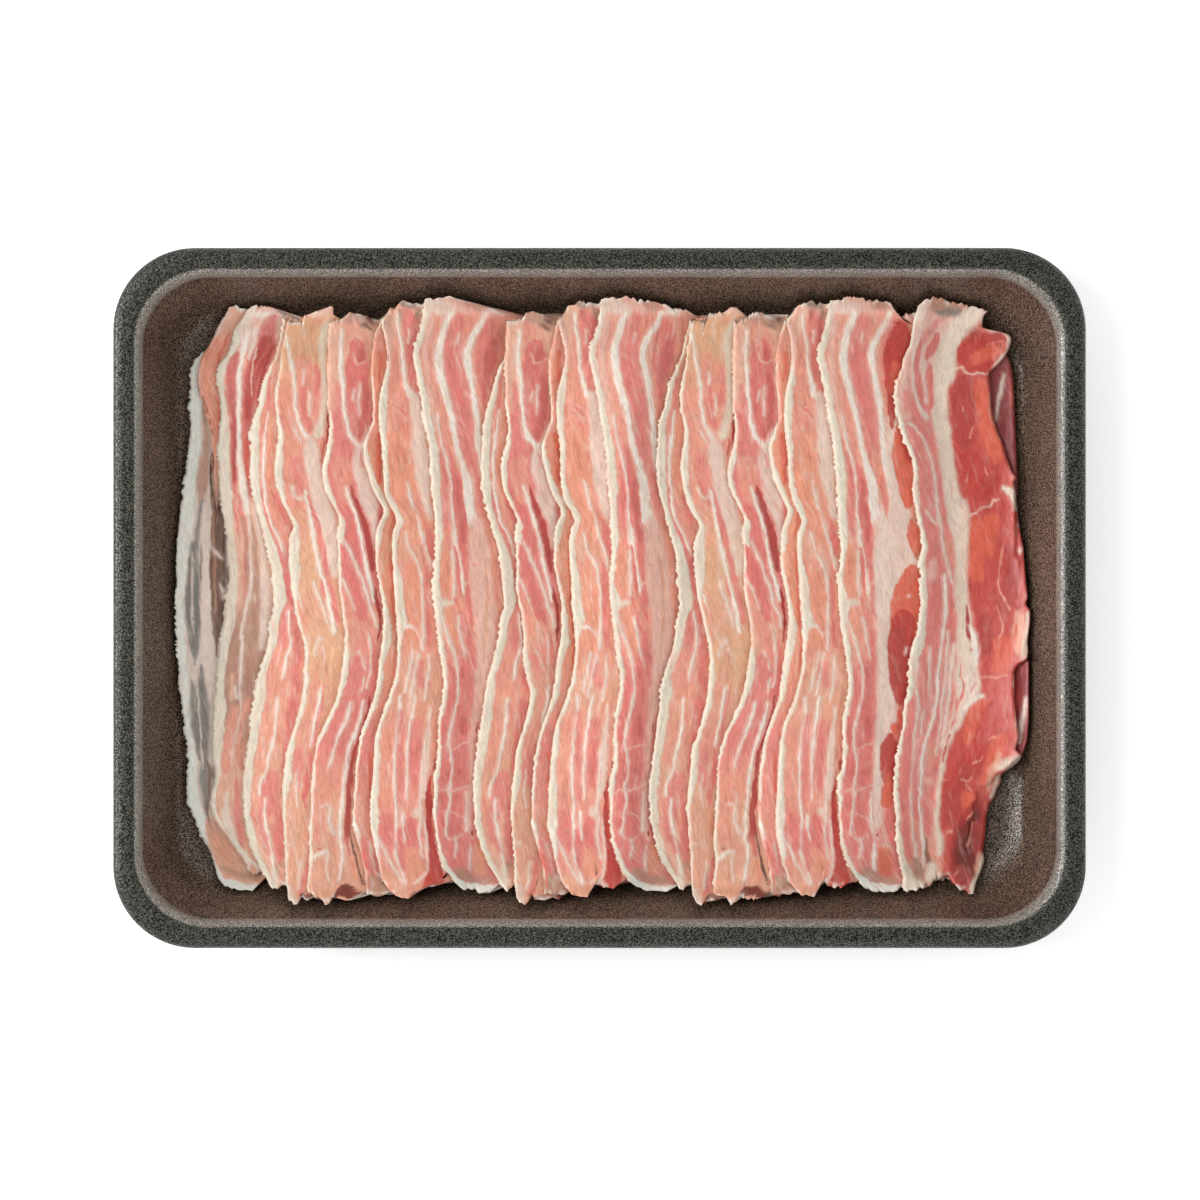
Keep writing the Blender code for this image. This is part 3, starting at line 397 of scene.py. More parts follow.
KINDS["f"] = dict(
    rim=((71.4, -0.3), (67.6, -1.6), (62.4, -2.6), (56, -2.6), (50.9, -2.1), (45.7, -2.1), (41.9, -3.7),
         (39.3, -4.7), (36, -4.4), (32.9, -3.8), (29.8, -3), (27.2, -2), (24.4, -.3), (22.2, 0.8),
         (20.6, 0), (17.7, -1.4), (13.4, -1.5), (9, -1.4), (5, -.8), (2.1, -0.1), (-2.1, 0.4), (-7.2, 0.5),
         (-11.6, 0.1), (-14.9, -0.5), (-21.3, -1.1), (-26.2, -2), (-30.5, -3.6), (-36, -5.5), (-42.6, -6.5),
         (-52, -7.2), (-59.1, -7.2), (-63.5, -5.9), (-67, -5), (-70.6, -4.2), (-73.5, -3.9)),
    fat=((71, .2), (50, .3), (44, .4), (41, 1), (36, 1.4), (31, 1.8), (27, 2), (24, 1.7), (21, 1.1),
         (18.5, 1.9), (15, 1.8), (12, 1.2), (9, .7), (5, .9), (0, 1), (-4, 1.5), (-8, 2.2), (-12, 2.7),
         (-14, 2.2), (-17, 1.6), (-22, 1.6), (-27, 1.4), (-32, 1.1), (-38, .9), (-44, .6), (-56, .4),
         (-58.5, 1.2), (-60.5, .5), (-76, .2)),
    top=((-2, 70.8), (0, 72), (1.2, 73), (2.4, 74.2), (6, 75)),
    bottom=((-5.4, -75.6), (-4, -76.4), (-2, -76.8), (.4, -76.8), (1.6, -76.2), (3, -75.9), (6, -76.4),
            (10, -76.4)),
    lean=((72, "peach"), (66, "salmon"), (60, "orange"), (46, "salmon"), (36, "orange"), (10, "orange"),
          (-14, "orange"), (-26, "salmon"), (-38, "pink"), (-58, "salmon"), (-66, "pink"), (-76, "umber")),
    strokes=(
        ("flame~", 0, 63, 1.4, 0, 59, 1.2, -.6, 56, .8),
        ("flame~", -1, 42, 1.2, -.4, 37, 1.6, -.6, 32, 1.4, -.4, 29, .6),
        ("red~", -.1, 42, .4, 0, 36, .4, -.2, 30, .4),
        # painted shadow: the dark red gap at the rim's edge
        ("blood", -.5, 24, .3, .1, 22.6, .6, -.3, 21, .5),
        ("flame~", 3, 22.4, .8, 3.3, 20, .7, 2.2, 16, .5),
        ("tan~", -.2, 11, 1.6, .2, 7, 1.4),
        ("flame~", 2.4, 12, .5, 2.8, 5, .5, 3, -1, .5, 3.6, -7, .7, 3.8, -12, .6, 3.2, -19, .4),
        ("pale~", -6.4, -47, .8, -6.6, -52, .6),
        ("flame~", -2.8, -40, .6, -2.8, -46, .6, -2.6, -50, .5),
        ("white", -6.9, -58.4, 1, -6.2, -59.4, .8, -5.6, -61.4, .4, -5, -64, .3),
        ("pale", -3, -63.4, .3, -2.4, -67, .4, -1.2, -70, .4, .2, -72.6, .3),
        ("rose~", -4.6, -63, 2, -3.8, -67, 2.6, -2.4, -71, 2),
        ("brick~", -1.8, -66.6, .5, -1.4, -69, .7, -.6, -71, .4),
        ("umber~", -2.6, -72.6, 3, -.6, -74.4, 3),
        ("bark", -5.6, -75.8, 1, -3.6, -76.6, 1, -1, -76.9, .8),
        ("flame~", -4.8, -64.6, .5, -3.6, -70, .5, -3, -74, .5),
    ),
)
KINDS["g"] = dict(
    rim=((75, -1.7), (73, -2.6), (71, -3.6), (68.8, -2.9), (63.7, -2), (60.6, -2), (56, -3), (52.2, -3.8),
         (48.3, -4.1), (44.4, -3.9), (39.3, -3.3), (34.2, -3.1), (31.6, -3), (27.5, -2.6), (25.2, -2),
         (21.8, -0.2), (19.8, 0.7), (17.2, -0.5), (13.9, -0.9), (9.8, -0.5), (4.4, -0.2), (-2.1, 0.1),
         (-6.4, 0.7), (-10.8, 0.9), (-17, 0.5), (-21.3, -0.1), (-26.2, -1.6), (-32.6, -4.2), (-36, -5),
         (-42.6, -5.6), (-48.3, -5.8), (-55.7, -6.3), (-59.3, -6.3), (-62.9, -5.6), (-66, -4.8),
         (-68.8, -4.2), (-72, -3.2)),
    fat=((74, .4), (68, .4), (63, .6), (59, 1.2), (55, 1.9), (51, 2.2), (47, 2.1), (44, 1.9), (38, 1.6),
         (32, 1.5), (27, 1.8), (24, 2.1), (21, 1.8), (18, 1.6), (14, 1.4), (10, 1.4), (6, 2.2), (1, 2.5),
         (-3, 2.9), (-5, 3), (-8, 1.9), (-12, .9), (-17, .9), (-22, 1.2), (-27, 1.2), (-32, 1.1),
         (-37, 1.3), (-41, 1.8), (-46, 1.8), (-51, 1.9), (-56, 2.6), (-59, 2.4), (-62, 1.6), (-65, 1),
         (-68, .5), (-78, .2)),
    top=((-4, 71.6), (-3.4, 72.6), (-2, 73), (-1.7, 74.4), (-1, 75.2), (.5, 75.6), (1.8, 76.5), (3, 76.5),
         (5, 76.1), (7, 75.8), (10, 76.4)),
    bottom=((-4.6, -71), (-3, -73.2), (-1.5, -75), (.5, -76.6), (2.5, -77.3), (4.1, -77.2), (4.5, -76),
            (4.4, -74.2), (5, -73.7), (6.8, -73.9), (7.6, -74.3), (9.5, -75.1), (11, -74.9), (12.6, -73.6),
            (16, -73)),
    lean=((76, "peach"), (70, "peach"), (62, "salmon"), (44, "salmon"), (30, "orange"), (10, "salmon"),
          (-12, "salmon"), (-24, "tan"), (-36, "salmon"), (-52, "salmon"), (-62, "pink"), (-70, "salmon"),
          (-78, "tan")),
    strokes=(
        ("blush~", -2.4, 70, 1.6, -1.4, 66, 1.4, -1.4, 60, 1),
        ("salmon~", 1, 71, .8, 1, 66, 1.2, .8, 60, 1.6, 1, 56, 2),
        ("grey~", 2, 75.6, 1.4, 4, 75.6, 1.8, 6, 75.4, 1),
        ("brown~", 6.2, 74, 1.4, 5.6, 71.6, 1.6),
        ("rose~", 3.6, 73, 3, 4, 70, 4.4, 4.2, 66, 3.4, 4, 62, 2.4, 4.2, 58, 2.2, 4.8, 55, 2, 5.8, 53.4,
         .8),
        ("brick~", 5.6, 71, 1.4, 5.4, 67, 1.2, 4.8, 63, .6),
        ("white", .9, 73, .4, 1.2, 69, .4, 1.7, 66, .5, 2, 63, .6, 2.2, 60, .6, 2.6, 57, .7, 3.2, 54.4, 1,
         4, 52.4, 1.4),
        ("pale", 3.7, 69, .2, 3.6, 66, .3),
        ("salmon~", 1, 52, 3.6, 1, 48.5, 4.4, 2, 45, 3),
        ("rose~", 1.6, 49, 1.6, 2.6, 47, 1.2),
        ("blush", -.6, 50.6, .2, 1.2, 49.4, .3, 3, 48.6, .2),
        ("blush", -.4, 49, .2, 1.5, 47.5, .3, 3.3, 45.8, .3),
        ("pale", .8, 44, .3, 1.7, 42, .5, 2.6, 40, .5, 4, 38.4, .4),
        ("rose~", 2, 44.6, 1.4, 2.8, 42, 1),
        ("pale~", 5.2, 52, 2.4, 5.9, 48, 3.2, 6.4, 44, 3.6, 6.4, 40, 4, 7, 36, 4, 7.3, 32, 4, 7.7, 28, 3,
         8.4, 24, 2.4, 9.4, 21, 1.6),
        ("orange~", 1.4, 42, 4, 1.6, 36, 5.4, 1.8, 31, 5, 2.6, 26, 4.2),
        ("pale", 3.2, 30, .3, 3.8, 27.6, .5, 4.4, 25, .6, 5.1, 22.6, .6, 5.9, 20.4, .6, 6.6, 18, .7, 7.3,
         15.4, .7, 8, 13, .6, 8.8, 10.4, .6, 9.4, 7.6, .5),
        ("salmon~", 5.8, 26, 1.6, 6.6, 23, 1.2),
        ("orange~", 4.4, 21.6, 2.6, 4.6, 18, 2.8, 5.4, 15, 2.2),
        ("rose", 7.9, 20, .3, 8.6, 17.6, 1.4, 9, 15, 2.2, 9.5, 12, 1.4, 9.8, 10, .6),
        ("tan~", 2.2, 15, 2.6, 2.6, 11, 3),
        ("pale", 2.9, 17, .3, 3.4, 14.5, .4, 4.2, 12, .5, 5.2, 10, .6, 6.2, 8.4, .6, 6.8, 6, .6, 7.2, 3, .6,
         7.5, 0, .6, 7.4, -4, .6, 7.4, -9, .6, 7.2, -13, .7),
        ("tan~", 5.4, 13, 2, 6.4, 10.6, 1.4),
        ("orange~", 4.2, 7, 2.4, 4.6, 3, 3.8, 4.8, -1, 4, 5.4, -4.6, 3, 5.8, -6.4, 1.6),
        ("rose~", 8.2, 8, 1, 8.4, 3, 1.4, 8.6, -2, 1.2, 8.8, -7, 1.2, 9, -12, 1.2),
        ("white", 3, -7.6, .6, 3.8, -7.2, .5, 5, -8, .4, 6.2, -9.4, .3),
        ("orange~", 4.4, -9.6, 3.4, 4.8, -12.4, 3.6),
        ("tan~", 3.4, -17, 3, 3, -22, 3),
        ("pale", 4.9, -14, .4, 4.4, -17, .5, 3.6, -20, .5, 2.8, -24, .4),
        ("rose", 5.2, -16, .2, 4.9, -19, .5, 4.5, -21.6, .3),
        ("pale", 6.4, -14.6, .6, 5.6, -18, .5, 5, -21, .5, 4.3, -25, .6),
        ("pink~", 6.8, -17, 1.6, 6.6, -22, 2, 8.4, -22, 2),
        ("pale", 8.9, -15, .4, 8.9, -20, .5, 8.3, -23, .5, 7.8, -26, .5),
        ("white", 1.6, -25.6, .4, 1.3, -30, .5, .9, -34, .5, .4, -38, .5, .1, -42, .5, .1, -46, .5, .2, -50,
         .5, .4, -54, .5, .6, -58, .5, .4, -61, .5, .2, -64, .5, .6, -67, .5, 1.6, -70, .5, 2.9, -73.4, .4),
        ("white", 5.2, -25.6, .4, 4.6, -30, .5, 3.8, -35, .5, 3.4, -40, .6, 3.3, -44, .5, 3.2, -48, .4, 3,
         -52, .2),
        ("white", 2.2, -55.4, .3, 2.2, -59, .5, 2.7, -62.4, .3),
        ("pink~", 1.8, -30, 1.6, 1.6, -38, 2, 1.6, -46, 2.2, 1.6, -52, 2),
        ("pink~", 5.8, -32, 2.4, 5.2, -40, 3, 5, -48, 3),
        ("rose~", 5.8, -36, 1, 5.8, -42, 1.2, 5.6, -48, .8),
        ("pale", 8.4, -34, .3, 7.7, -38, .5, 7.4, -42, .5, 7.1, -46, .5, 6.9, -50, .6, 6.7, -54, .6, 6.9,
         -57, .6, 6.4, -60, .5, 6.8, -64, .4, 7.4, -67, .4),
        ("pale~", 9.2, -28, .8, 8.9, -34, 1, 8.5, -40, 1.3, 8.1, -46, 1.3, 7.8, -51, 1),
        ("rose~", -2, -56, 2, -1.4, -60, 3, -.8, -64, 2.4),
        ("rose~", 1.4, -60, 1.2, 1.6, -65, 1.6, 2.2, -70, 1.4),
        ("rose", 4.2, -57.4, 2.6, 4.2, -60, 3, 4.4, -63, 2.4),
        ("orange~", 4.6, -66, 3, 5.4, -70, 3.4),
        ("pale~", 5.6, -55.2, 2.4),
        ("pale", -4.3, -61, .3, -2.8, -64, .45, -1.6, -67, .45, 0, -70, .45, 1.5, -72.5, .4, 3, -74, .3),
        ("white", -5.2, -60, .7, -4.4, -63.4, .8, -4, -66.8, .5),
        ("tan~", -1, -72, 2, 1.6, -75.4, 2.6, 3.4, -76.4, 1.6),
        ("pale~", 7.9, -57, .6, 8.3, -63, .8, 8.5, -68, .7, 8, -71, .7, 6.4, -72.8, .7, 5, -73.6, .5),
        ("red", 9.4, -46, .3, 9, -49, 1, 8.9, -53, 1.4, 9, -57, 1.5, 9.4, -61, 1.5, 10, -65, 1.8, 10.4, -68,
         2.6, 10.6, -71, 4, 10.2, -74, 5.6),
        ("blood~", 8.4, -50, .4, 8.5, -56, .4, 9, -62, .4, 9.4, -67, .4),
        ("deep", 10.6, -42, .7, 10.4, -44, .8),
        ("deep", 8.6, -43, .3),
    ),
)
H_STROKES = (
    ("pale~", .4, 75.4, 4, 2.4, 75, 4, 4.6, 74.4, 3),
    ("umber~", 9, 76, 2.6, 12, 75.4, 2.6),
    ("blush~", 6.4, 75.2, 2, 8.6, 74.4, 2),
    ("smoke~", 15, 74.4, 1.4, 17, 74, 1.6),
    ("blush~", -.4, 72, 2, -1, 67, 2.4, -1.4, 62, 2.6, -1, 57, 2.2, -.2, 52, 2, .4, 48, 1.4, .6, 44, 1),
    ("salmon~", 1, 71, 1, -.6, 66, 1, -.6, 61, .8, -.2, 56, .8, .4, 51, .8, .8, 47, .6),
    ("pink~", 6.6, 72, 3, 5.6, 68, 4.6, 5.4, 63, 5.6, 5.6, 58, 5.6, 6.6, 53, 5.6, 7.6, 48, 5.4, 8.6, 43, 5,
     9.4, 38, 4.4, 10.4, 33, 2.8, 11.4, 29, 2.2, 11.9, 25, 1.6, 12.6, 21, .6),
    ("rose~", 4.6, 64, 1.8, 5, 58, 2, 6.6, 52, 2.4, 8, 46, 2, 8.4, 41, 1.2, 9.8, 35, 1.2),
    ("pale", 6.6, 68, .3, 6.2, 66, .3),
    ("rose~", 14.6, 71, 2.6, 14.4, 67, 5.6, 14, 62, 5.4, 13.4, 57, 3.4, 13, 52, 1.6, 13, 48.4, .4),
    ("brick~", 15.6, 66, 2, 14.6, 62, 3.4, 13.8, 58, 2.2, 13.2, 52, .8),
    ("rose~", 11.4, 63, 1, 11.6, 58, .8),
    ("white", 4.4, 73, 1, 3.4, 71, 1.5, 2.4, 68, 1.6, 1.6, 65, 1.8, 1.4, 62, 1.9, 1.8, 58, 1.8, 2.6, 55,
     1.6, 3.4, 52, 1.5, 4.2, 49, 1.3, 4.9, 46, 1.2, 5.4, 43, 1.1, 5.9, 40, 1, 6.5, 37.4, 1, 7.4, 34.6, 1.3,
     8.2, 32, 1.7, 8.9, 29.4, 2, 9.1, 26.4, 2.2, 9.3, 23, 2.2, 9.8, 20, 2.6),
    ("white", 13.6, 73.4, 1, 12.3, 71, 1.2, 10.8, 68.6, 1.3, 9.5, 66.2, 1.4, 8.7, 64, 1.5, 8.6, 62, 1.5,
     9.1, 59, 1.4, 9.7, 56, 1.3, 10.2, 53, 1.2, 10.7, 49.6, 1.2, 11.2, 46, 1.2, 11.5, 42, 1.2, 11.9, 38,
     1.2, 12.5, 34, 1.3, 13.3, 30, 1.5),
    ("pink~", 1.4, 45, .5, 2, 42, 1.2, 3, 38, 1.7, 3.6, 34, 1.9, 3.7, 30, 2.1, 3.4, 26, 2.1, 3.4, 22, 2.1,
     3.8, 18, 1.6, 4.3, 15, .9, 4.7, 12.4, .3),
    ("rose~", 2.6, 38, .7, 3.2, 32, 1, 3.6, 26, 1, 4, 20, 1),
    ("pale", 1, 47, .3, 1.6, 43, .4, 2.3, 39.6, .5, 3.2, 36, .5, 4.2, 32.6, .5, 4.7, 30, .5, 4.9, 26, .6, 5,
     22, .7, 5.2, 18, .7, 5.4, 14, .7),
    ("rose", 4.3, 37.6, .3, 4.9, 34.6, .8, 5.6, 32, 1.8, 6.2, 29, 2.6, 6.4, 26, 2.6, 6.7, 22, 2.8, 7.4, 18,
     2.9, 7.9, 14, 2.6, 8.3, 10, 2.2, 8.6, 7, 1.6, 8.4, 4.6, .8),
    ("brick~", 6.2, 30, 1, 6.6, 25, 1.2, 7.4, 20, 1.3, 7.8, 15, 1.2),
    ("white", 5.7, 17.6, .3, 6, 14, .5, 6.5, 10.6, .5, 7.1, 7, .5, 7.5, 4, .6, 7.8, 1.4, .6),
    ("rose", 5.8, 13, .5, 6.2, 9.6, 1, 6.5, 6, 1, 6.9, 2.8, .9, 7.1, .2, .2),
    ("orange~", 3.2, 13.4, 1.4, 3.4, 9.6, 2.6, 3.4, 5, 2.8, 3.8, 1.6, 2),
    ("rose~", 5.6, .6, 1, 6.2, -1.6, .7, 6.5, -2.8, .2),
    ("cream~", 4.8, -1.2, 1.4, 2.4, -1.6, 2.6),
    ("pale", 5.1, 12, .5, 5.2, 8, .5, 5.3, 4, .5, 5.4, .6, .5),
    ("rose", 9, 3, .9, 9.1, .6, 1.7, 9.2, -2, 1.6, 9.6, -4.6, 1, 10, -7, .5),
    ("blush~", 8, 3.4, .4, 9.4, 4.4, .5),
    ("orange~", 3.6, -3.4, 1.6, 4.6, -6, 2.4, 5.4, -9.4, 2, 6.4, -13, 1.6),
    ("salmon~", 2.6, -7, .8, 3.6, -11, 1.4, 4.6, -15, 1.2),
    ("pink~", 7.4, -4, 1.4, 8, -8, 2, 8.6, -12, 2.4),
    ("pale", 2.3, -5, .4, 3.7, -9.4, .6, 4.8, -13, .6, 5.6, -16, .6, 6.2, -19, .5, 6.4, -22, .5, 6, -26, .5,
     5.2, -30, .6, 4.1, -34, .6, 4, -38, .5, 4.7, -42, .5, 4.4, -46, .5, 4.1, -49.4, .6, 4.4, -52, .5, 3.7,
     -55, .4, 3.4, -58, .5, 3.1, -61, .5),
    ("pale", 6.4, -5, .3, 7.1, -9, .4, 7.8, -12.5, .5, 8.4, -15.6, .4),
    ("rose~", 9.4, -9, 1.4, 9.4, -14, 2.2, 9.2, -19, 2),
    ("rose~", 7.6, -16, .8, 7.8, -21, 2, 8.2, -26, 2.4),
    ("brick~", 7.3, -18, .6, 7.6, -20.6, .8),
    ("rose~", 4.6, -18, 1.2, 4.9, -22, 1.8, 4.4, -26, 1.8, 3.6, -29, 1.8),
    ("blush~", 11, 19, 3.6, 11.6, 14, 5, 12, 9, 5.6, 12.4, 4, 5.6, 12.8, -1, 5, 13.6, -6, 5, 13.6, -11, 5,
     13.6, -16, 4.4, 13, -21, 4.4, 12.2, -26, 3.6, 11, -31, 2.2, 10.2, -36, 1.6, 10, -41, 1.6, 10, -46, 1.6,
     9.6, -52, 1.4, 9.2, -57, 1.4, 9.8, -62, 1.2),
    ("tan~", 13.4, 10, .7, 13.8, 2, .8, 13.6, -8, .8, 13, -16, .7),
    ("pink", 10.5, 8.6, .7),
    ("blush~", 11.4, -20, 1, 12.4, -14, .8),
    ("rose", 2.9, -31, 1.4, 2.8, -34, 1.6, 2.8, -37, 1.3),
    ("rose", 3.2, -40.4, 1.8, 3.4, -43.4, 2.4, 3.2, -46, 2.2, 3.2, -48, .8),
    ("brick~", 3.6, -45, 1),
    ("rose", 7.3, -28.6, 2.8, 7.3, -32, 3.2, 7, -35, 3.4, 7, -37, 3),
    ("brick~", 7.6, -31, 1.4, 7.6, -35, 1.8),
    ("rose", 7.2, -39, 2.8, 7, -41, 3),
    ("rose", 6.8, -43, 3.2, 6.8, -45.4, 3, 6, -47.8, 1.6),
    ("brick~", 6.8, -44.6, 1.8),
    ("blush", 4.6, -38.6, .3, 6.8, -38.1, .4, 9.2, -37.4, .3),
    ("blush", .8, -50.6, .3, 2.6, -49.3, .4, 4.8, -49.9, .5, 7.4, -48.8, .4, 9.6, -48, .6),
    ("rose", 2.6, -51.6, 2, 2.6, -54, 1.8),
    ("rose", 2.4, -57, 1.6, 2.4, -59, 1.2),
    ("rose", 6.2, -52, 3, 6, -55, 2.8),
    ("rose", 5.8, -57.4, 2.8, 5.8, -60, 2.6),
    ("pale", 8.7, -50, .4, 8.5, -55, .5, 8.6, -60, .5),
    ("blush", 2.8, -60.6, .3, 5, -62.2, .4, 8, -61, .3),
    ("blush", 4.2, -55, .3, 7.4, -56.6, .3),
    ("rose~", 5.4, -64, 3.4, 6, -68, 3.6),
    ("pale", 5.6, -62, .3, 6, -64.6, .4, 5.4, -67, .3),
    ("salmon", 13, -35.4, 1.6, 12.8, -38.6, 3.2, 12.8, -43, 3.4, 12.8, -47, 2.8),
    ("salmon", 12.6, -50.4, 2.4, 12.4, -52.6, 2.6),
    ("salmon~", 13.2, -56, 2.2, 13, -60, 2.4),
    ("deep", 11.5, -32.4, .3, 11.1, -34.2, .5),
    ("blood", 10.1, -60.4, .3, 9.9, -61.4, .5),
    ("umber~", 7, -71, 3, 10, -72.6, 2.4, 14, -73, 1.8),
    ("smoke", 4.6, -70.8, .6, 6.4, -73, 1.6, 9, -74.6, 2.2, 12, -75, 2.2, 15.6, -75, 2),
    ("orange", 11.6, -64, 2.2, 11.8, -67, 4.2, 12, -69.6, 3.6),
    ("pale", 9.5, -64, .4, 9.3, -67, .4, 9.4, -70, .4),
)
H_COMMON = dict(
    rim=((77.1, -2.5), (74, -2.8), (71.4, -3.1), (68.3, -3.7), (66.3, -4.5), (64.5, -5.2), (62.4, -5.5),
         (60.6, -5.3), (58.6, -4.9), (56, -4.3), (50.9, -3.3), (47.8, -2.9), (45.2, -2.5), (41.9, -1.8),
         (38.5, -1.3), (35.5, -1), (31.6, -0.8), (24.4, -0.2), (19.8, 0.1), (14.9, 0.4), (9, 0.4), (5, -.1),
         (2.1, -0.1), (-4.4, 0.3), (-8.5, .9), (-14.1, 1.6), (-17.5, 2.1), (-21.3, 2.6), (-26.2, 2.1),
         (-30.6, 1.1), (-36, 1.1), (-43.2, 0.9), (-45.7, 0), (-55.7, -0.2), (-62.2, 0.5), (-65.5, 1.2),
         (-68.8, 2.3), (-71.9, 4.2), (-73.6, 5.6), (-74.6, 6.8)),
    fat=((77, 2.4), (73, 1.8), (69, 1.6), (65, 1.8), (61, 2.2), (56, 2), (50, 2.2), (45, 2.3), (40, 2.4),
         (35, 2.8), (30, 2.7), (25, 2.3), (20, 2.2), (16, 2.5), (12, 1.6), (8, 1.3), (3, 1.6), (0, 2.4),
         (-3, 2.6), (-6, 1.8), (-11, 1.7), (-16, 1.4), (-20, 1.6), (-25, 1.4), (-29, 1.4), (-34, 1),
         (-39, 1.3), (-43, 1.2), (-47, 1.4), (-51, 1.1), (-56, .9), (-61, .9), (-65, 1.2), (-69, 1.5),
         (-72, 2), (-75, 2)),
    bottom=((5.6, -73.6), (6.8, -74.7), (8.6, -75.5), (12, -76), (15.4, -75.9), (16.4, -75.2), (17.4, -74),
            (20, -73)),
    lean=((78, "blush"), (72, "salmon"), (50, "salmon"), (30, "salmon"), (10, "salmon"), (-8, "salmon"),
          (-20, "pink"), (-62, "pink"), (-70, "pink"), (-77, "umber")),
)
KINDS["h"] = dict(
    H_COMMON,
    top=((-2.6, 76.4), (-2, 77), (0, 77.3), (2, 77.5), (3.6, 77.6), (4, 78), (5.4, 77.4), (8, 76.9),
         (10, 76.6), (13, 76), (16, 75.2), (19, 74.6), (24, 73)),
    strokes=H_STROKES,
)
KINDS["wide"] = dict(
    H_COMMON,
    right=((77, 20), (72, 24), (68, 38), (65, 42.6), (62.4, 44.2), (59.6, 45), (56, 45.5), (50.9, 45.7),
           (43.2, 46), (31.1, 46.5), (24.4, 46.2), (9.8, 46.5), (-13.4, 48), (-16.4, 49.3), (-31.9, 49.3),
           (-37.3, 48.8), (-41, 47.5), (-44, 44), (-50, 36), (-60, 34), (-75, 30)),
    top=((-2.6, 76.4), (-2, 77), (0, 77.3), (2, 77.5), (3.6, 77.6), (4, 78), (5.4, 77.4), (8, 76.9),
         (11, 76.6), (13.4, 76.2), (14.4, 75.4), (15, 74), (16, 73), (17.4, 73.6), (19.4, 73.8), (24, 73),
         (40, 70), (50, 66)),
    strokes=H_STROKES + (
        ("pale~", 14, 46, 3, 14, 40, 3, 14.5, 34, 4, 15, 28, 5, 14.6, 22, 8, 14.6, 16, 9, 15, 10, 12, 14, 4,
         9, 12.4, -2, 6, 12, -8, 4.4, 12, -14, 4, 12, -20, 4, 12.6, -25, 5, 12.6, -30, 5, 12, -34, 4, 10.6,
         -40, 2.6, 10.4, -46, 2.4, 10.4, -52, 2.4, 10.6, -58, 2.4),
        ("salmon", 9.6, 37, 2, 10.5, 33, 2.5, 11.6, 28, 2.5, 12.1, 24, 1.7, 12.6, 20.6, .3),
        ("rose~", 11, 31, 1, 12, 25, 1, 12.5, 21.6, .3),
        ("red", 16.6, 70.4, 3, 16, 67, 6, 15, 63, 6.6, 14.6, 59, 5.4, 14, 55, 3.6, 13.7, 51, 2.4, 13.9, 47,
         1.8, 13.8, 44, 1),
        ("blush~", 17, 72.6, 2, 19, 72.4, 1.6),
        ("blood", 14.6, 71, .4, 15.8, 70.6, .4),
        ("flame~", 15, 60, 2, 14.2, 54, 2),
        ("flame", 15.6, 44, 1.8, 16.2, 40, 4, 16.8, 35, 5, 17.4, 30, 4, 17.8, 26, 3.4, 18, 24, 2.4),
        ("red~", 17, 42, 2, 18.4, 36, 2),
        ("flame", 18.8, 19.6, 1.4, 19.4, 17, 3, 20, 14, 3, 20.3, 11.6, 1.4, 20.4, 10.2, .3),
        ("flame", 19.4, 8, 2, 18.8, 5, 5, 17.8, 1, 7, 17.4, -3, 8, 17.4, -7, 8),
        ("red", 16.8, -6, 6, 16.4, -11, 7, 16.4, -16, 6.6, 16.4, -21, 6, 16.4, -25.6, 3.6),
        ("deep~", 16, -9, 3, 15.6, -15, 3, 15.8, -21, 3),
        ("white", 18.4, .2, .3),
        ("white", 17.4, -13, .2, 17.2, -14.6, .3),
        ("flame", 15.8, -29.6, 1.6, 16, -32, 1.4, 15, -33.6, 3),
        ("red", 13.6, -36, 2.4, 13.2, -39, 4.6, 13.2, -43, 4.8, 13, -46.6, 3.4),
        ("flame~", 13, -46, 2, 13, -51, 3),
        ("flame", 12.8, -50, 3.4, 12.6, -52.6, 3),
        ("rose", 13.6, -55.6, 2.8, 13.6, -59, 2.8, 13.6, -63, 2),
        ("flame~", 12, -66, 4, 12.4, -70, 3.6),
        ("white", 9.5, -63.6, .4, 9.3, -67, .5, 9.4, -70, .4),
        ("purple", 40, 66, 8, 42, 55, 8, 43, 45, 8, 44.6, 35, 6, 46, 25, 4, 47, 10, 4, 47.6, -5, 4, 47, -20,
         6, 47, -30, 6, 46, -38, 6, 44, -46, 6),
        ("pale", 43, 58, .3, 42.2, 54, .8, 41.4, 50, .6, 41, 46, .3),
        ("deep~", 44.6, 56, 1, 44.8, 50, 1),
        ("pale", 48.6, -26, .6, 47.8, -30, .9, 47.2, -34, 1, 46.6, -37, .8),
        ("deep~", 46, -22, 2, 46, -28, 2),
    ),
)
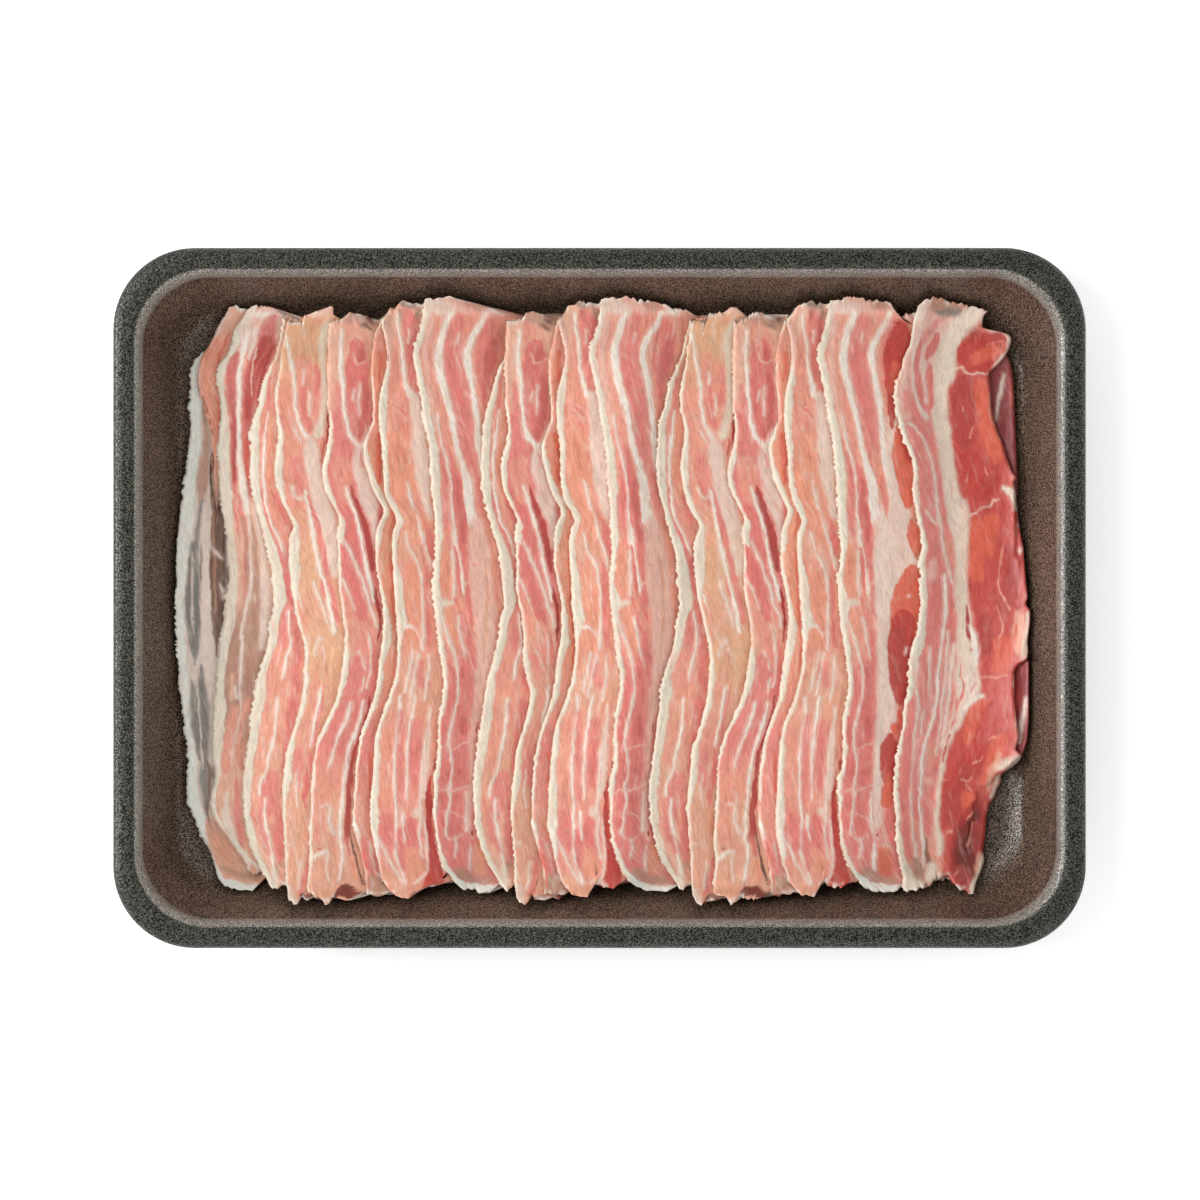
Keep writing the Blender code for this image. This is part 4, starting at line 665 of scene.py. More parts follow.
KINDS["k"] = dict(
    rim=((76.6, -0.1), (74, -1.1), (70.9, -1.9), (68.3, -2.4), (65, -2.9), (62.9, -4), (60.6, -4.7),
         (58.6, -5.2), (56.8, -6), (54.7, -6.5), (52.7, -6.7), (50.1, -6.5), (47.8, -6.3), (45.7, -5.8),
         (43.2, -5), (40.6, -4.2), (38, -3.2), (35.5, -2.2), (32.9, -1.9), (30.3, -2.1), (25.9, -1.9),
         (21.6, -1.1), (17.2, 0.1), (13.4, 0.6), (10.5, -0.2), (5.1, 0.2), (0.8, 0), (-3.3, -0.1),
         (-5.9, -0.6), (-9, -1.1), (-12.3, -2.2), (-14.9, -2.7), (-18.2, -2.9), (-21.8, -3.1), (-26.2, -4),
         (-29.5, -4.7), (-33.4, -4.7), (-37.3, -5.8), (-42.4, -6.2), (-46.2, -6.8), (-50.6, -7),
         (-55.2, -6.4), (-59.6, -6.3), (-64.7, -6.1), (-68.1, -5.4), (-72.4, -4.3), (-75.5, -4.2)),
    right=((77, 17.6), (74.2, 17.8), (73.4, 16.8), (72.6, 16.4), (70.4, 16.2), (69.5, 16.2), (69, 20.4),
           (68.4, 22.8), (67.4, 23.8), (66, 23.7), (64, 23), (62, 21.9), (60.4, 20.4), (59, 18.8),
           (58, 17.9), (54.7, 18.3), (50.9, 18.4), (47, 19), (43.2, 20), (40.1, 21.4), (36.7, 22.4),
           (34.2, 23.3), (32, 24.2), (31.2, 25.3), (30.2, 24.2), (28, 24.8), (24.4, 25.1), (18.8, 25.8),
           (13.1, 26.8), (4, 27.5), (0, 27.9), (-1.6, 27.3), (-3, 28.5), (-6, 28.5), (-11, 27.8), (-14, 28),
           (-16, 27.6), (-17, 25.4), (-19, 24.4), (-26.2, 24.4), (-31.9, 25), (-36, 25.6), (-39.2, 24.6),
           (-40.4, 26.4), (-41.4, 26.2), (-43, 24.8), (-44.6, 22.6), (-45.6, 21), (-47.4, 21.2),
           (-49, 20.2), (-51.5, 19.4), (-53, 18.2), (-56.3, 17.4), (-62.2, 17), (-65, 16.5), (-68, 16.8),
           (-70.6, 15.9), (-73.5, 14.6), (-76.6, 13.8)),
    fat=((76, 2), (72, 1.4), (68, .8), (64, .6), (59, .5), (56, 1), (52, 1.3), (46, 1.3), (40, 1.4),
         (34, 1.3), (28, 1.7), (24, 1.6), (20, 1.2), (15, 1.6), (9, 1.6), (3, 1.8), (-2, 1.9), (-6, 2.3),
         (-10, 2.8), (-13, 3.2), (-16, 2.2), (-20, 1.5), (-26, 1.6), (-31, 1), (-36, 1.1), (-42, 1.3),
         (-48, 1.4), (-55, 1.2), (-61, 1.5), (-66, 1.8), (-71, 2.6), (-74, 4)),
    top=((-1.2, 74.4), (0, 76), (1.5, 77), (3, 77.4), (3.6, 78), (5, 77.4), (8, 76.4), (10, 76.2),
         (12.6, 75.4), (14.5, 75.4), (16.6, 74.6), (17.8, 73.8), (30, 73)),
    bottom=((-4.4, -75.3), (-3, -75.9), (-1.5, -75.7), (.5, -75.1), (2.5, -74.5), (3.7, -73), (4.3, -72.4),
            (5.5, -72.6), (6.2, -71.9), (7.5, -72.2), (9, -74), (10.5, -75.5), (12, -75.7), (13.4, -76.8),
            (15, -76)),
    lean=((77, "umber"), (71, "blush"), (62, "blush"), (50, "pink"), (36, "pink"), (14, "pink"),
          (-10, "pink"), (-26, "pink"), (-54, "pink"), (-66, "salmon"), (-76, "umber")),
    strokes=(
        ("red~", 15, 68, 6, 13, 52, 13, 13.6, 45, 13, 14.6, 38, 14.6, 16, 31, 15, 18, 24, 14, 19.6, 17, 14,
         20, 10, 15.6, 20.4, 3, 15.6, 21.4, -4, 14.8, 21.8, -11, 13.6, 21, -18, 10.6, 20, -24, 10.4, 18.4,
         -30, 13.6, 16.4, -35, 16, 14.6, -41, 17, 13.2, -47, 15.4, 11.6, -53, 13.8, 11, -58, 13.4, 11.4,
         -64, 12, 11, -70, 10, 11, -75, 8),
        ("deep~", 11.4, 55, 6, 11.4, 48, 6, 12, 41, 5),
        ("flame~", 15.6, 55, 3, 16.4, 48, 3.4, 18, 42, 4, 19.6, 37, 4),
        ("flame~", 17, 53, 2, 17.4, 48, 2, 18.6, 43, 2, 20.6, 39.6, 2),
        ("salmon~", 17.9, 53, .5, 18.4, 47, .5, 20.6, 41, .5),
        ("red~", 13, 35, 6, 15, 28, 6, 20, 30, 4),
        ("flame~", 14.6, 19, 4, 14.4, 12, 4.4, 14.8, 6, 4),
        ("flame~", 18.6, 20, 4, 18, 12, 3),
        ("deep~", 23.6, 12, 4, 24, 5, 4.4, 22, -2, 4),
        ("deep~", 17, -6, 4, 17.6, -13, 4),
        ("flame~", 21.4, -12, 5, 21, -18, 4),
        ("flame~", 15, -28, 5, 13, -36, 4),
        ("red~", 19, -29, 5, 15, -40, 6, 9, -48, 5),
        ("flame~", 20.6, -37, 4, 18, -45, 3, 16.6, -49, 3),
        ("deep~", 8, -52, 4.6, 7.6, -57, 4, 12, -44, 3),
        ("flame~", 12.4, -52, 4),
        ("blood~", 14.6, -54, 3.4, 13, -59, 7, 12.4, -64, 9, 12.2, -69, 8.6, 12.4, -73, 5),
        ("bark~", 14.6, -56, 2, 13, -60, 4.8, 12.4, -65, 7, 12.2, -70, 6),
        ("deep~", 14.8, -59, 3, 14.6, -65, 3),
        ("deep~", 10.6, -71, 4, 12, -74, 3),
        ("tan~", 15.4, -66, 1, 14.6, -70, 1.2),
        ("red", 13.6, 67, 4, 13.4, 64, 7.4, 14.4, 61.4, 7.4, 17, 64, 8, 19.6, 65, 7),
        ("deep~", 14, 68.4, 2.4, 17.4, 67.8, 1.4, 21, 68, 1.6),
        ("flame~", 15, 62, 3.6, 21, 64.4, 3),
        ("deep~", 11.6, 62, 2),
        ("pale", 23.3, 67, .3, 22.4, 63.6, .3, 20.6, 61, .3),
        ("pink", 17.4, 65, .3, 19.4, 66, .3, 21.6, 66.4, .3),
        ("salmon~", 19, 63.6, .3, 19.4, 61.4, .4),
        ("blush", 8.6, 59.6, .6, 10.6, 59.4, .5, 12.6, 58.2, .5, 15, 57.8, .5, 17.6, 57.6, .5),
        ("salmon", 11.2, 49.6, .2, 11, 48, .4),
        ("salmon", 13, 41.4, .4, 14, 44, .3),
        ("salmon", 12.4, 32, .2, 12, 30, .3),
        ("salmon", 16.8, 34, .2, 17.4, 32, .3),
        ("blush", 12.8, 21.4, .6, 14.4, 22, .5, 16, 23.2, .4, 18.2, 23.4, .4, 19.2, 25, .5, 20.6, 25.4, .3),
        ("salmon", 21.6, 13.4, .3, 21, 11, .4, 20.6, 8, .3, 20.4, 4.6, .3, 20.8, 1.6, .4, 22.4, -1, .4,
         23.4, -3, .4),
        ("salmon", 16, -20.4, .5, 18, -20.4, .4, 20, -20.6, .4, 22.2, -20, .4),
        ("salmon", 20, -2, .3, 21.2, -7, .4, 20.4, -10, .3),
        ("salmon", 17.8, -36.4, .3, 20, -35.4, .4),
        ("salmon", 13.8, -42.6, .3, 16.4, -41.2, .4),
        ("salmon", 10.6, -46.8, .3, 12.4, -47.4, .5, 13.8, -46.6, .3),
        ("salmon", 12, -48.4, .3, 13.4, -49.6, .4),
        ("salmon", 12.2, -57, .3, 13.6, -55, .4),
        ("pink", 12.1, -64, .3, 12.8, -61.6, .5, 13.8, -58, .4),
        ("salmon", 8.8, -72, .3, 10, -70.4, .3),
        ("salmon", 5.6, -47.2, .4, 7, -46.6, .4),
        ("salmon", 6.8, -61, .4, 8.4, -60.4, .4),
        ("cream~", 13.6, 73.4, 4, 11.6, 71, 5, 9.4, 68.6, 5, 7.6, 66, 4.6, 6.8, 62, 5.2, 6.4, 58, 5.6, 5.4,
         54, 3.8, 5.2, 50, 4.4, 5.4, 46, 4.6, 6.2, 42, 4.2, 6.6, 38, 3.8, 7.2, 34, 4, 7.9, 30, 4, 8.6, 26,
         4.6, 9.8, 23, 5.8, 10.2, 20, 5.6, 10.4, 16, 4.2, 10.7, 12, 3.4, 10.8, 8, 3.2, 10.8, 4, 3.2, 10.9,
         0, 3.2, 11.3, -4, 3.6, 11.8, -8, 4.4, 12, -12, 5, 12, -16, 5, 12.2, -20, 6.4, 12.4, -23, 6, 11.2,
         -27, 4, 9.8, -31, 3.2, 8.4, -34, 2.2, 7, -38, 1.6, 5.8, -43, 1.3, 5.1, -48, 1.2, 4.7, -53, 1.1,
         4.5, -58, 1.4, 5.2, -61.6, 1.8, 5.3, -66, 1.6),
        ("pale~", 14, 75, 2, 16, 73, 2),
        ("umber~", 5, 75, 4, 8, 74.6, 3.4, 6.6, 72.8, 2),
        ("grey~", 7.4, 73.2, 1.4, 10, 74.2, 1.6, 4.4, 73.6, 1),
        ("pale~", 1.6, 75.6, 2, .4, 72, 1.6),
        ("rose", 4.6, 68, 1, 4, 66, 2, 3, 63.6, 2.4, 1.6, 61.6, 1),
        ("pink~", 5, 71.6, 1.6, 3, 69.6, 2, .8, 66, 1.6),
        ("rose", .4, 67, .6, -.4, 63, 1.6, -.9, 59, 1.6, -.4, 55, 2.2, .6, 51.6, 1.6, 1, 50, .5),
        ("rose", 2.4, 60.4, .8, 2.4, 57, 2.1, 2.5, 53, 2.2, 2.6, 50, 1.8, 2.7, 48.8, .6),
        ("blush~", -3.4, 61, 1.6, -4.2, 55, 2.6, -4, 50, 2.6, -3.2, 47, 2),
        ("pink~", -3.6, 53, 1.4, -3.4, 48.6, 1.6),
        ("pale", .4, 70, .4, -1, 65, .5, -1.6, 61, .5, -1.9, 57, .5, -1.3, 53, .6, .1, 49, .8, 1.6, 46.6,
         1),
        ("pale", 1, 61, .4, 1.1, 57, .5, 1.4, 53, .4, 1.7, 50.6, .4),
        ("pale", -3, 45, .4, -1, 43.6, .5, .6, 41.4, .5, 1.9, 38.4, .5, 3.2, 34, .5, 3.8, 30, .5, 4.2, 26,
         .6, 4.7, 22, .6, 5.4, 18, .6, 6.1, 14, .6, 6.8, 10.4, .7, 7.6, 7, .7, 8.4, 4, .6, 9, 1, .5),
        ("rose~", 1, 35, 1.4, 1.6, 29, 1.6, 1.6, 24, 1.4, 2.8, 18, 1.2),
        ("salmon~", 7.4, 14, 1.8, 8.3, 9, 1.8),
        ("pale", 1.7, 22.6, .3, 2.6, 20.6, .5, 4.6, 19, .5),
        ("blush~", 3.4, 9, 2, 3, 5.6, 2),
        ("rose~", 3.6, 3, 2.4, 3.8, -2, 2.6, 4, -6, 1.6),
        ("rose~", 8.2, 3, 1.2, 8.1, -3, 1.6, 7.6, -9, 1.6, 7.4, -13, 1.2),
        ("white", 6.4, 6, .4, 6.6, 2, .8, 6.7, -3, .8, 6.2, -8, .6, 5.7, -12, .6, 5.2, -16, .6, 4.8, -20,
         .6, 4.6, -24, .6, 4, -28, .6, 3.1, -31.5, .6, 2.2, -35, .6, 1.2, -38, .6, .6, -42, .6, .3, -47, .6,
         0, -52, .5, .4, -57, .5, .8, -62, .5, 1, -66, .5, .7, -70, .4),
        ("pale", 7.4, -9, .4, 7.4, -12, .5, 7, -16, .5, 6.6, -20, .5, 6.2, -24, .5, 5.8, -28, .5, 5.5, -31,
         .4, 4.9, -35, .4, 4.4, -40, .3),
        ("pale", 9, -12, .6, 8.6, -15, .8, 8, -20, .8, 7.6, -25, .8, 7.2, -29, .8, 6.6, -33, .7, 5.8, -38,
         .6),
        ("pale", -.4, -17, .4, -1.2, -22, .5, -.5, -26, .5, -.6, -30, .5, -1.2, -34, .5, -1.7, -38, .5, -2,
         -43, .5, -2.4, -48, .5, -2.3, -53, .5, -2, -58, .5, -1.6, -62, .5, -.9, -66, .5, -.5, -69, .4),
        ("pale", 2.8, -13, .4, 2.4, -19, .5, 2.2, -24, .5, 1.4, -28, .5, .6, -31, .4, .4, -35, .3),
        ("rose~", -2.2, -33, 1, -3, -40, 1.6, -3.6, -48, 1.8, -3.8, -56, 1.8, -3.4, -63, 1.8, -2.6, -67,
         1.6),
        ("rose~", 1.8, -24, 1, 1.6, -28, 1.6),
        ("rose~", 4.6, -31, 1, 3.6, -35, 1.4),
        ("salmon~", 2.8, -38, 2, 2.4, -43, 2.2),
        ("rose", .6, -45, .2, 1.6, -45.5, .4, 3, -45.8, .3),
        ("blush~", 2.2, -47.4, 2),
        ("rose~", 2.2, -51, 2, 2.4, -56, 2, 2.4, -61, 1.6),
        ("rose~", -.8, -50, 1, -.8, -57, 1),
        ("brown~", 1.8, -62, .5, 1.8, -65, .8, 2.4, -68, 1.1),
        ("brown~", .2, -68.6, .5, .6, -71, .7),
        ("umber~", -1, -68, 2, 0, -72, 3),
        ("cream~", 3.4, -69.6, 2.6, 2.4, -72.4, 2, 4.8, -71.4, 1.8),
        ("cream~", -2.6, -73, 2.6, .4, -74, 1.6),
        ("tan~", 4.6, -70.6, 1),
        ("pale~", 12, -21, 3, 13.4, -24, 3.4),
        ("rose", 10.4, -20, .3, 11.4, -22, .6, 11.2, -25, .7, 10, -27, .4),
        ("rose", 14.6, -22, .3, 13.2, -24.6, .5),
        ("rose", 8.4, -34, .5, 9, -31.4, .5, 9.6, -28.4, .5, 9.8, -25.6, .4),
        ("red", 7.8, -35.4, .4, 6.8, -38.4, .5, 5.9, -42, .5),
        ("blood", 12.2, -1.8, .3, 12.3, -4, .8, 12.5, -7, 1.2, 12.8, -10, 1, 13.1, -11.2, .3),
        ("deep~", 13.2, -12.8, .5, 13.3, -14, .4),
        ("rose", 10.8, -17, .3, 10.6, -19.6, .4),
        ("white", 13, -7, .4, 14.2, -9.6, .9, 14.6, -13, 1, 14.4, -17, .8),
        ("white", 12, -28, .7, 13.8, -26.4, .8, 16.4, -25.2, .7),
        ("cream", 22, 28.8, 1, 23.4, 27.6, 1.9, 24.4, 25.6, 1.3, 25, 23, .8),
        ("cream", 25.8, 18.6, .3),
        ("white", 26, 12.6, .7),
        ("blood~", 25.4, -3, 1, 26.4, -2.2, .7),
        ("tan~", 25.6, -4.6, 2.4, 25.4, -9, 3.4, 25.6, -13, 3),
        ("cream~", 27.8, -4, 1, 27.6, -8, 1, 27.2, -12, 1.4, 27, -15, 1.8),
        ("flame~", 25, -7, 1, 24.4, -12, 1),
        ("blush", 24.4, -20, .3, 24.6, -27, .4, 24.8, -33, .5),
        ("cream~", 19.8, -43.8, 1.8, 22, -43, 2.6, 24.2, -42, 2.2, 26, -40.8, 1.3),
        ("cream~", 20.2, -46.6, 1.4, 19.6, -49.4, 1.4, 18.8, -51.4, 1),
        ("tan~", 20.6, -40.6, 1.4, 18.4, -45, 1.2, 18, -49, 1.4),
        ("deep~", 22.4, -45, .6),
        ("cream", 16.4, -66.6, .6, 15.8, -70, .9, 14.6, -72.8, 1.1, 13.4, -75, 1.4),
        ("white", 13.4, -76.6, .5),
    ),
)

# the near part of one slice is cut like "d" and its far part like "e"
KINDS["j"] = dict(KINDS["e"], near="d")
NEAR_SHIFT = 0.5            # sideways shift of the near part's pattern, and of the far part's
FAR_SHIFT = -0.4
TURNS_AT = (-13.0, -26.0)   # where the far pattern starts to give way, and where it has gone

# from the lowest slice to the top one
STACK = ("a", "flap", "b", "c", "d", "e", "f", "g", "h", "c", "j", "f", "g", "h",
         "c", "d", "e", "f", "g", "wide", "k")
PIECES = [f"pork_slice_{number + 1:02d}" for number in range(len(STACK))]

# ---------------------------------------------------------------- noise, curves and grids
NOISE_CELLS = 128
NOISE_ORIGIN = 500.0        # keeps the cells' numbers positive over the whole tray
EASED = 0.7                 # blur of a line's corners
EASED_STEP = 0.25
LINE_PAST = 5.0             # how far a line is worked out past its end points
GRID_STEP = 1.0
GRID_MARGIN = 4.0           # how far the grid goes on past the tray
SURE_LIFT = 30.0            # rays start this far below the table, or four times this far above it


def smoothstep(low, high, value):
    t = np.clip((value - low) / (high - low), 0.0, 1.0)
    return t * t * (3.0 - 2.0 * t)


def noise(x, y, size_x, size_y, seed):
    """Smooth noise from -1 to 1 with blobs of about size_x by size_y."""
    table = np.random.default_rng(seed).uniform(-1.0, 1.0, (NOISE_CELLS, NOISE_CELLS))
    along, across = x / size_x + NOISE_ORIGIN, y / size_y + NOISE_ORIGIN
    i, j = np.floor(along).astype(int), np.floor(across).astype(int)
    s, t = along - i, across - j
    s, t = s * s * (3.0 - 2.0 * s), t * t * (3.0 - 2.0 * t)
    i0, j0 = i % NOISE_CELLS, j % NOISE_CELLS
    i1, j1 = (i + 1) % NOISE_CELLS, (j + 1) % NOISE_CELLS
    near = table[i0, j0] * (1.0 - s) + table[i1, j0] * s
    far = table[i0, j1] * (1.0 - s) + table[i1, j1] * s
    return near * (1.0 - t) + far * t


def noises(x, y, seed, terms):
    """A sum of noises, each given as its strength, its two sizes and its own seed."""
    return sum(strength * noise(x, y, size_x, size_y, seed + own)
               for strength, size_x, size_y, own in terms)


def blur(values, sigma):
    """Gaussian blur of a grid along both axes, with its edges held."""
    reach = int(math.ceil(3 * sigma))
    kernel = np.exp(-0.5 * (np.arange(-reach, reach + 1) / sigma) ** 2)
    kernel /= kernel.sum()
    for axis in (0, 1):
        values = np.moveaxis(values, axis, -1)
        padded = np.pad(values, [(0, 0)] * (values.ndim - 1) + [(reach, reach)], mode="edge")
        total = sum(weight * padded[..., k:k + values.shape[-1]] for k, weight in enumerate(kernel))
        values = np.moveaxis(total, -1, axis)
    return values


def smooth_line(points, sigma=EASED, step=EASED_STEP):
    """A function through (place, value) points, with its corners eased."""
    places, values = np.array(sorted(points), float).T
    at = np.arange(places[0] - LINE_PAST, places[-1] + LINE_PAST + step, step)
    line = blur(np.interp(at, places, values)[None, :], sigma / step)[0]
    return lambda place: np.interp(place, at, line)


def round_over(distance, radius):
    """Height of a quarter circle, from 0 at its edge to 1 at the radius and beyond."""
    return np.sqrt(1.0 - (1.0 - np.clip(distance / radius, 0.0, 1.0)) ** 2)


class Grid:
    """The table's plane in millimetres, one value for each step."""
    lo = np.array([v / MM for v in CAD_BOX[0][:2]]) - GRID_MARGIN
    hi = np.array([v / MM for v in CAD_BOX[1][:2]]) + GRID_MARGIN
    xs = np.arange(lo[0], hi[0], GRID_STEP)
    ys = np.arange(lo[1], hi[1], GRID_STEP)

    @classmethod
    def empty(cls):
        return np.full((len(cls.xs), len(cls.ys)), np.nan)

    @classmethod
    def sample(cls, grid, x, y):
        u = np.clip((x - cls.xs[0]) / GRID_STEP, 0.0, len(cls.xs) - 1.001)
        v = np.clip((y - cls.ys[0]) / GRID_STEP, 0.0, len(cls.ys) - 1.001)
        i, j = u.astype(int), v.astype(int)
        s, t = u - i, v - j
        near = grid[i, j] * (1.0 - s) + grid[i + 1, j] * s
        far = grid[i, j + 1] * (1.0 - s) + grid[i + 1, j + 1] * s
        return near * (1.0 - t) + far * t


def cast(node, upwards):
    """Height of a solid over every grid point: its underside, or its top from above."""
    mesh = NODES[node].data
    tree = BVHTree.FromPolygons([v.co for v in mesh.vertices], [tuple(p.vertices) for p in mesh.polygons])
    low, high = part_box(node)
    heights = Grid.empty()
    start = -SURE_LIFT * MM if upwards else 4.0 * SURE_LIFT * MM
    way = Vector((0.0, 0.0, 1.0 if upwards else -1.0))
    for i, x in enumerate(Grid.xs * MM):
        if not low[0] < x < high[0]:
            continue
        for j, y in enumerate(Grid.ys * MM):
            if low[1] < y < high[1]:
                hit = tree.ray_cast(Vector((x, y, start)), way)[0]
                if hit is not None:
                    heights[i, j] = hit.z / MM
    return heights


def fill(grid):
    """Carries the known values outwards into the unknown ones."""
    grid = grid.copy()
    while np.isnan(grid).any():
        around = np.stack([np.roll(grid, shift, axis) for shift in (-1, 1) for axis in (0, 1)])
        known = ~np.isnan(around)
        count = known.sum(0)
        mean = np.where(known, around, 0.0).sum(0) / np.maximum(count, 1)
        new = np.isnan(grid) & (count > 0)
        if not new.any():
            break
        grid[new] = mean[new]
    return grid


# ---------------------------------------------------------------- a slice's outline
MEASURED = 60.0             # rims are compared with the solids' within this distance of the middle
SAG_BLUR = 2.2
RIGHT_EASED = 0.4           # blur of a right edge's corners, which are sharper than a rim's
RIGHT_BLUR = 2.0            # blur of a right edge that is taken from the solid
FAR_OUT = 90.0              # past every slice's end
FLAP_END = 23.0             # the short slice stops here, under its neighbour
FLAP_WAVE = 0.8
FLAP_INSIDE = 50.0          # a place that is surely on the short slice
TORN = 0.6                  # how ragged the far and near ends are
UNTORN = 0.2                # where they aren't torn, they reach this far past the tables
TORN_TERMS = ((1.0, 0.9, 1.0, 0), (0.8, 2.3, 1.0, 60))
TORN_SEED = 700
HALVINGS = 24
RIM_KEPT_FREE = 0.6         # later slices take no notice of a slice this near its rim


def rim_of(kind):
    """The rim's sideways place along the slice, and the width of its fat."""
    far, near = KINDS[kind], KINDS[KINDS[kind].get("near", kind)]
    rims = [smooth_line(part["rim"]) for part in (far, near)]
    fats = [smooth_line(part["fat"]) for part in (far, near)]
    if far is near:
        return rims[0], fats[0]

    def mixed(pair, shifts):
        def at(y):
            turn = smoothstep(*TURNS_AT, y)
            return (pair[0](y) + shifts[0]) * (1.0 - turn) + (pair[1](y) + shifts[1]) * turn
        return at
    return mixed(rims, (FAR_SHIFT, NEAR_SHIFT)), mixed(fats, (0.0, 0.0))


class Slice:
    """One slice's outline, fitted to its solid."""

    def __init__(self, index, tray):
        self.index = index
        self.node = PIECES[index]
        self.kind = STACK[index]
        self.facts = KINDS[self.kind]
        self.rim, self.fat = rim_of(self.kind)
        under = cast(self.node, True)
        over = cast(self.node, False)
        covered = ~np.isnan(under)
        rows = [j for j in range(len(Grid.ys)) if covered[:, j].any()]
        ys = Grid.ys[rows]
        left = np.array([Grid.xs[covered[:, j].argmax()] for j in rows]) - 0.5 * GRID_STEP
        right = np.array([Grid.xs[len(Grid.xs) - 1 - covered[::-1, j].argmax()] for j in rows])
        mid = np.abs(ys) < MEASURED
        self.middle = float(np.median(left[mid] - self.rim(ys[mid])))
        if "right" in self.facts:
            self.right = smooth_line(self.facts["right"], RIGHT_EASED)
        else:
            edge = blur(right[None, :], RIGHT_BLUR)[0] - self.middle
            self.right = lambda y: np.interp(y, ys, edge)
        far, near = self.facts["top"], KINDS[self.facts.get("near", self.kind)]["bottom"]
        shift = NEAR_SHIFT if "near" in self.facts else 0.0
        self.top = lambda x: np.interp(x, *np.array(far, float).T)
        self.bottom = lambda x: np.interp(x - shift, *np.array(near, float).T)
        lift = fill(np.where(covered, under - tray, np.nan))
        thick = fill(np.where(covered, over - under, np.nan))
        self.lift = blur(lift, SAG_BLUR / GRID_STEP)
        self.thick = blur(thick, SAG_BLUR / GRID_STEP)

    def end(self, columns_at, count, side):
        """Where each column meets the far (side 1) or near (side -1) outline."""
        inner, outer = np.zeros(count), np.full(count, side * FAR_OUT)
        if self.kind == "flap":
            inner += FLAP_INSIDE
        outline = self.top if side > 0 else self.bottom
        seed = TORN_SEED + 2 * self.index + (side > 0)
        for _ in range(HALVINGS):
            y = 0.5 * (inner + outer)
            x = self.rim(y) + columns_at(y)
            torn = noises(x, 0.0 * x, seed, TORN_TERMS)
            past = side * (y - outline(x)) + TORN * np.abs(torn) > UNTORN
            outer = np.where(past, y, outer)
            inner = np.where(past, inner, y)
        return 0.5 * (inner + outer)

    def covers(self, x, y):
        """Whether the slice lies over each point of the tray."""
        own = x - self.middle
        from_left = own - self.rim(y)
        inside = (from_left > RIM_KEPT_FREE) & (from_left < self.right(y) - self.rim(y))
        inside &= (y < self.top(own)) & (y > self.bottom(own))
        if self.kind == "flap":
            inside &= y > FLAP_END
        return inside


# ---------------------------------------------------------------- a slice's rows and columns
ROW_STEP = 0.42
FINE_STEP = 0.3
RIM_COLUMNS = (0.0, 0.06, 0.18, 0.4, 0.7, 1.1)      # close together where the rim rounds over
TUCKED_COLUMNS = (1.0, 2.0, 3.0, 4.5, 6.5)          # just under the next slice
COARSE_STEP = 4.0
UNDER_NEXT = 2.5            # how far the fine columns go on under the next slice
LEAST_SHOWN = 3.0
LEAST_HIDDEN = 7.0
LEAST_WIDTH = 2.0
END_ROWS = (0.0, 0.1, 0.28, 0.55, 0.95, 1.4, 1.9)   # close together where the ends thin out
NIBS = {"d": 0.6, "e": 0.6, "f": 0.5, "g": 0.5, "j": 0.6}   # how ragged a rim is, beside the others'
NIB_SIZE = 0.8
NIB_DEPTH = 0.85
NIB_SHIFT = 0.25            # keeps the rim's mean place where it was
NIB_LEVEL = 0.75            # nibs are this strong on the whole, and this much more or less along the rim
NIB_VARIES = 0.5
NIB_VARIES_OVER = 6.0
WAVES = ((0.18, 4.5, 1.0, 2),)
RUFFLE_REACH = 1.0          # the rim's unevenness dies away over this distance


def columns_of(piece, following):
    """A function giving every column's distance from the rim at each place along the slice."""
    def width(y):
        return np.maximum(piece.right(y) - piece.rim(y), LEAST_WIDTH)

    if following is None or piece.kind == "wide":
        full = float(np.max(width(np.linspace(-70.0, 70.0, 141))))
        rounded = np.array(RIM_COLUMNS)
        edge = 1.0 - rounded[::-1] / full
        middle = np.arange(rounded[-1] / full, edge[0], FINE_STEP / full)[1:]
        shares = np.concatenate([rounded / full, middle, edge])
        return lambda y, k: width(y) * shares[k], len(shares)

    def shown(y):
        gap = following.middle + following.rim(y) - piece.middle - piece.rim(y)
        return np.clip(gap + UNDER_NEXT, LEAST_SHOWN, np.maximum(width(y) - LEAST_HIDDEN, LEAST_SHOWN))

    ys = np.linspace(-74.0, 74.0, 149)
    if piece.kind == "flap":
        ys = np.linspace(FLAP_END + 1.0, 74.0, 51)
    fine = int(math.ceil(float(np.max(shown(ys))) / FINE_STEP))
    coarse = int(math.ceil(float(np.median(width(ys) - shown(ys))) / COARSE_STEP))
    rim_count = len(RIM_COLUMNS)
    tucked = len(TUCKED_COLUMNS)
    past_fine = rim_count + fine
    past_tucked = past_fine + tucked
    room = TUCKED_COLUMNS[-1] + 1.0

    def at(y, k):
        k = np.asarray(k)
        reach = shown(y)
        hidden = width(y) - reach
        by_rim = np.array(RIM_COLUMNS)[np.clip(k, 0, rim_count - 1)]
        by_fine = RIM_COLUMNS[-1] + (reach - RIM_COLUMNS[-1]) * (k - rim_count + 1) / fine
        step = np.array(TUCKED_COLUMNS)[np.clip(k - past_fine, 0, tucked - 1)]
        by_tuck = reach + np.minimum(step, hidden * step / room)
        last = reach + np.minimum(TUCKED_COLUMNS[-1], hidden * TUCKED_COLUMNS[-1] / room)
        share = (k - past_tucked + 1) / coarse
        by_coarse = last + (width(y) - last) * share
        zones = [k < rim_count, k < past_fine, k < past_tucked]
        return np.select(zones, [by_rim, by_fine, by_tuck], by_coarse)
    return at, past_tucked + coarse


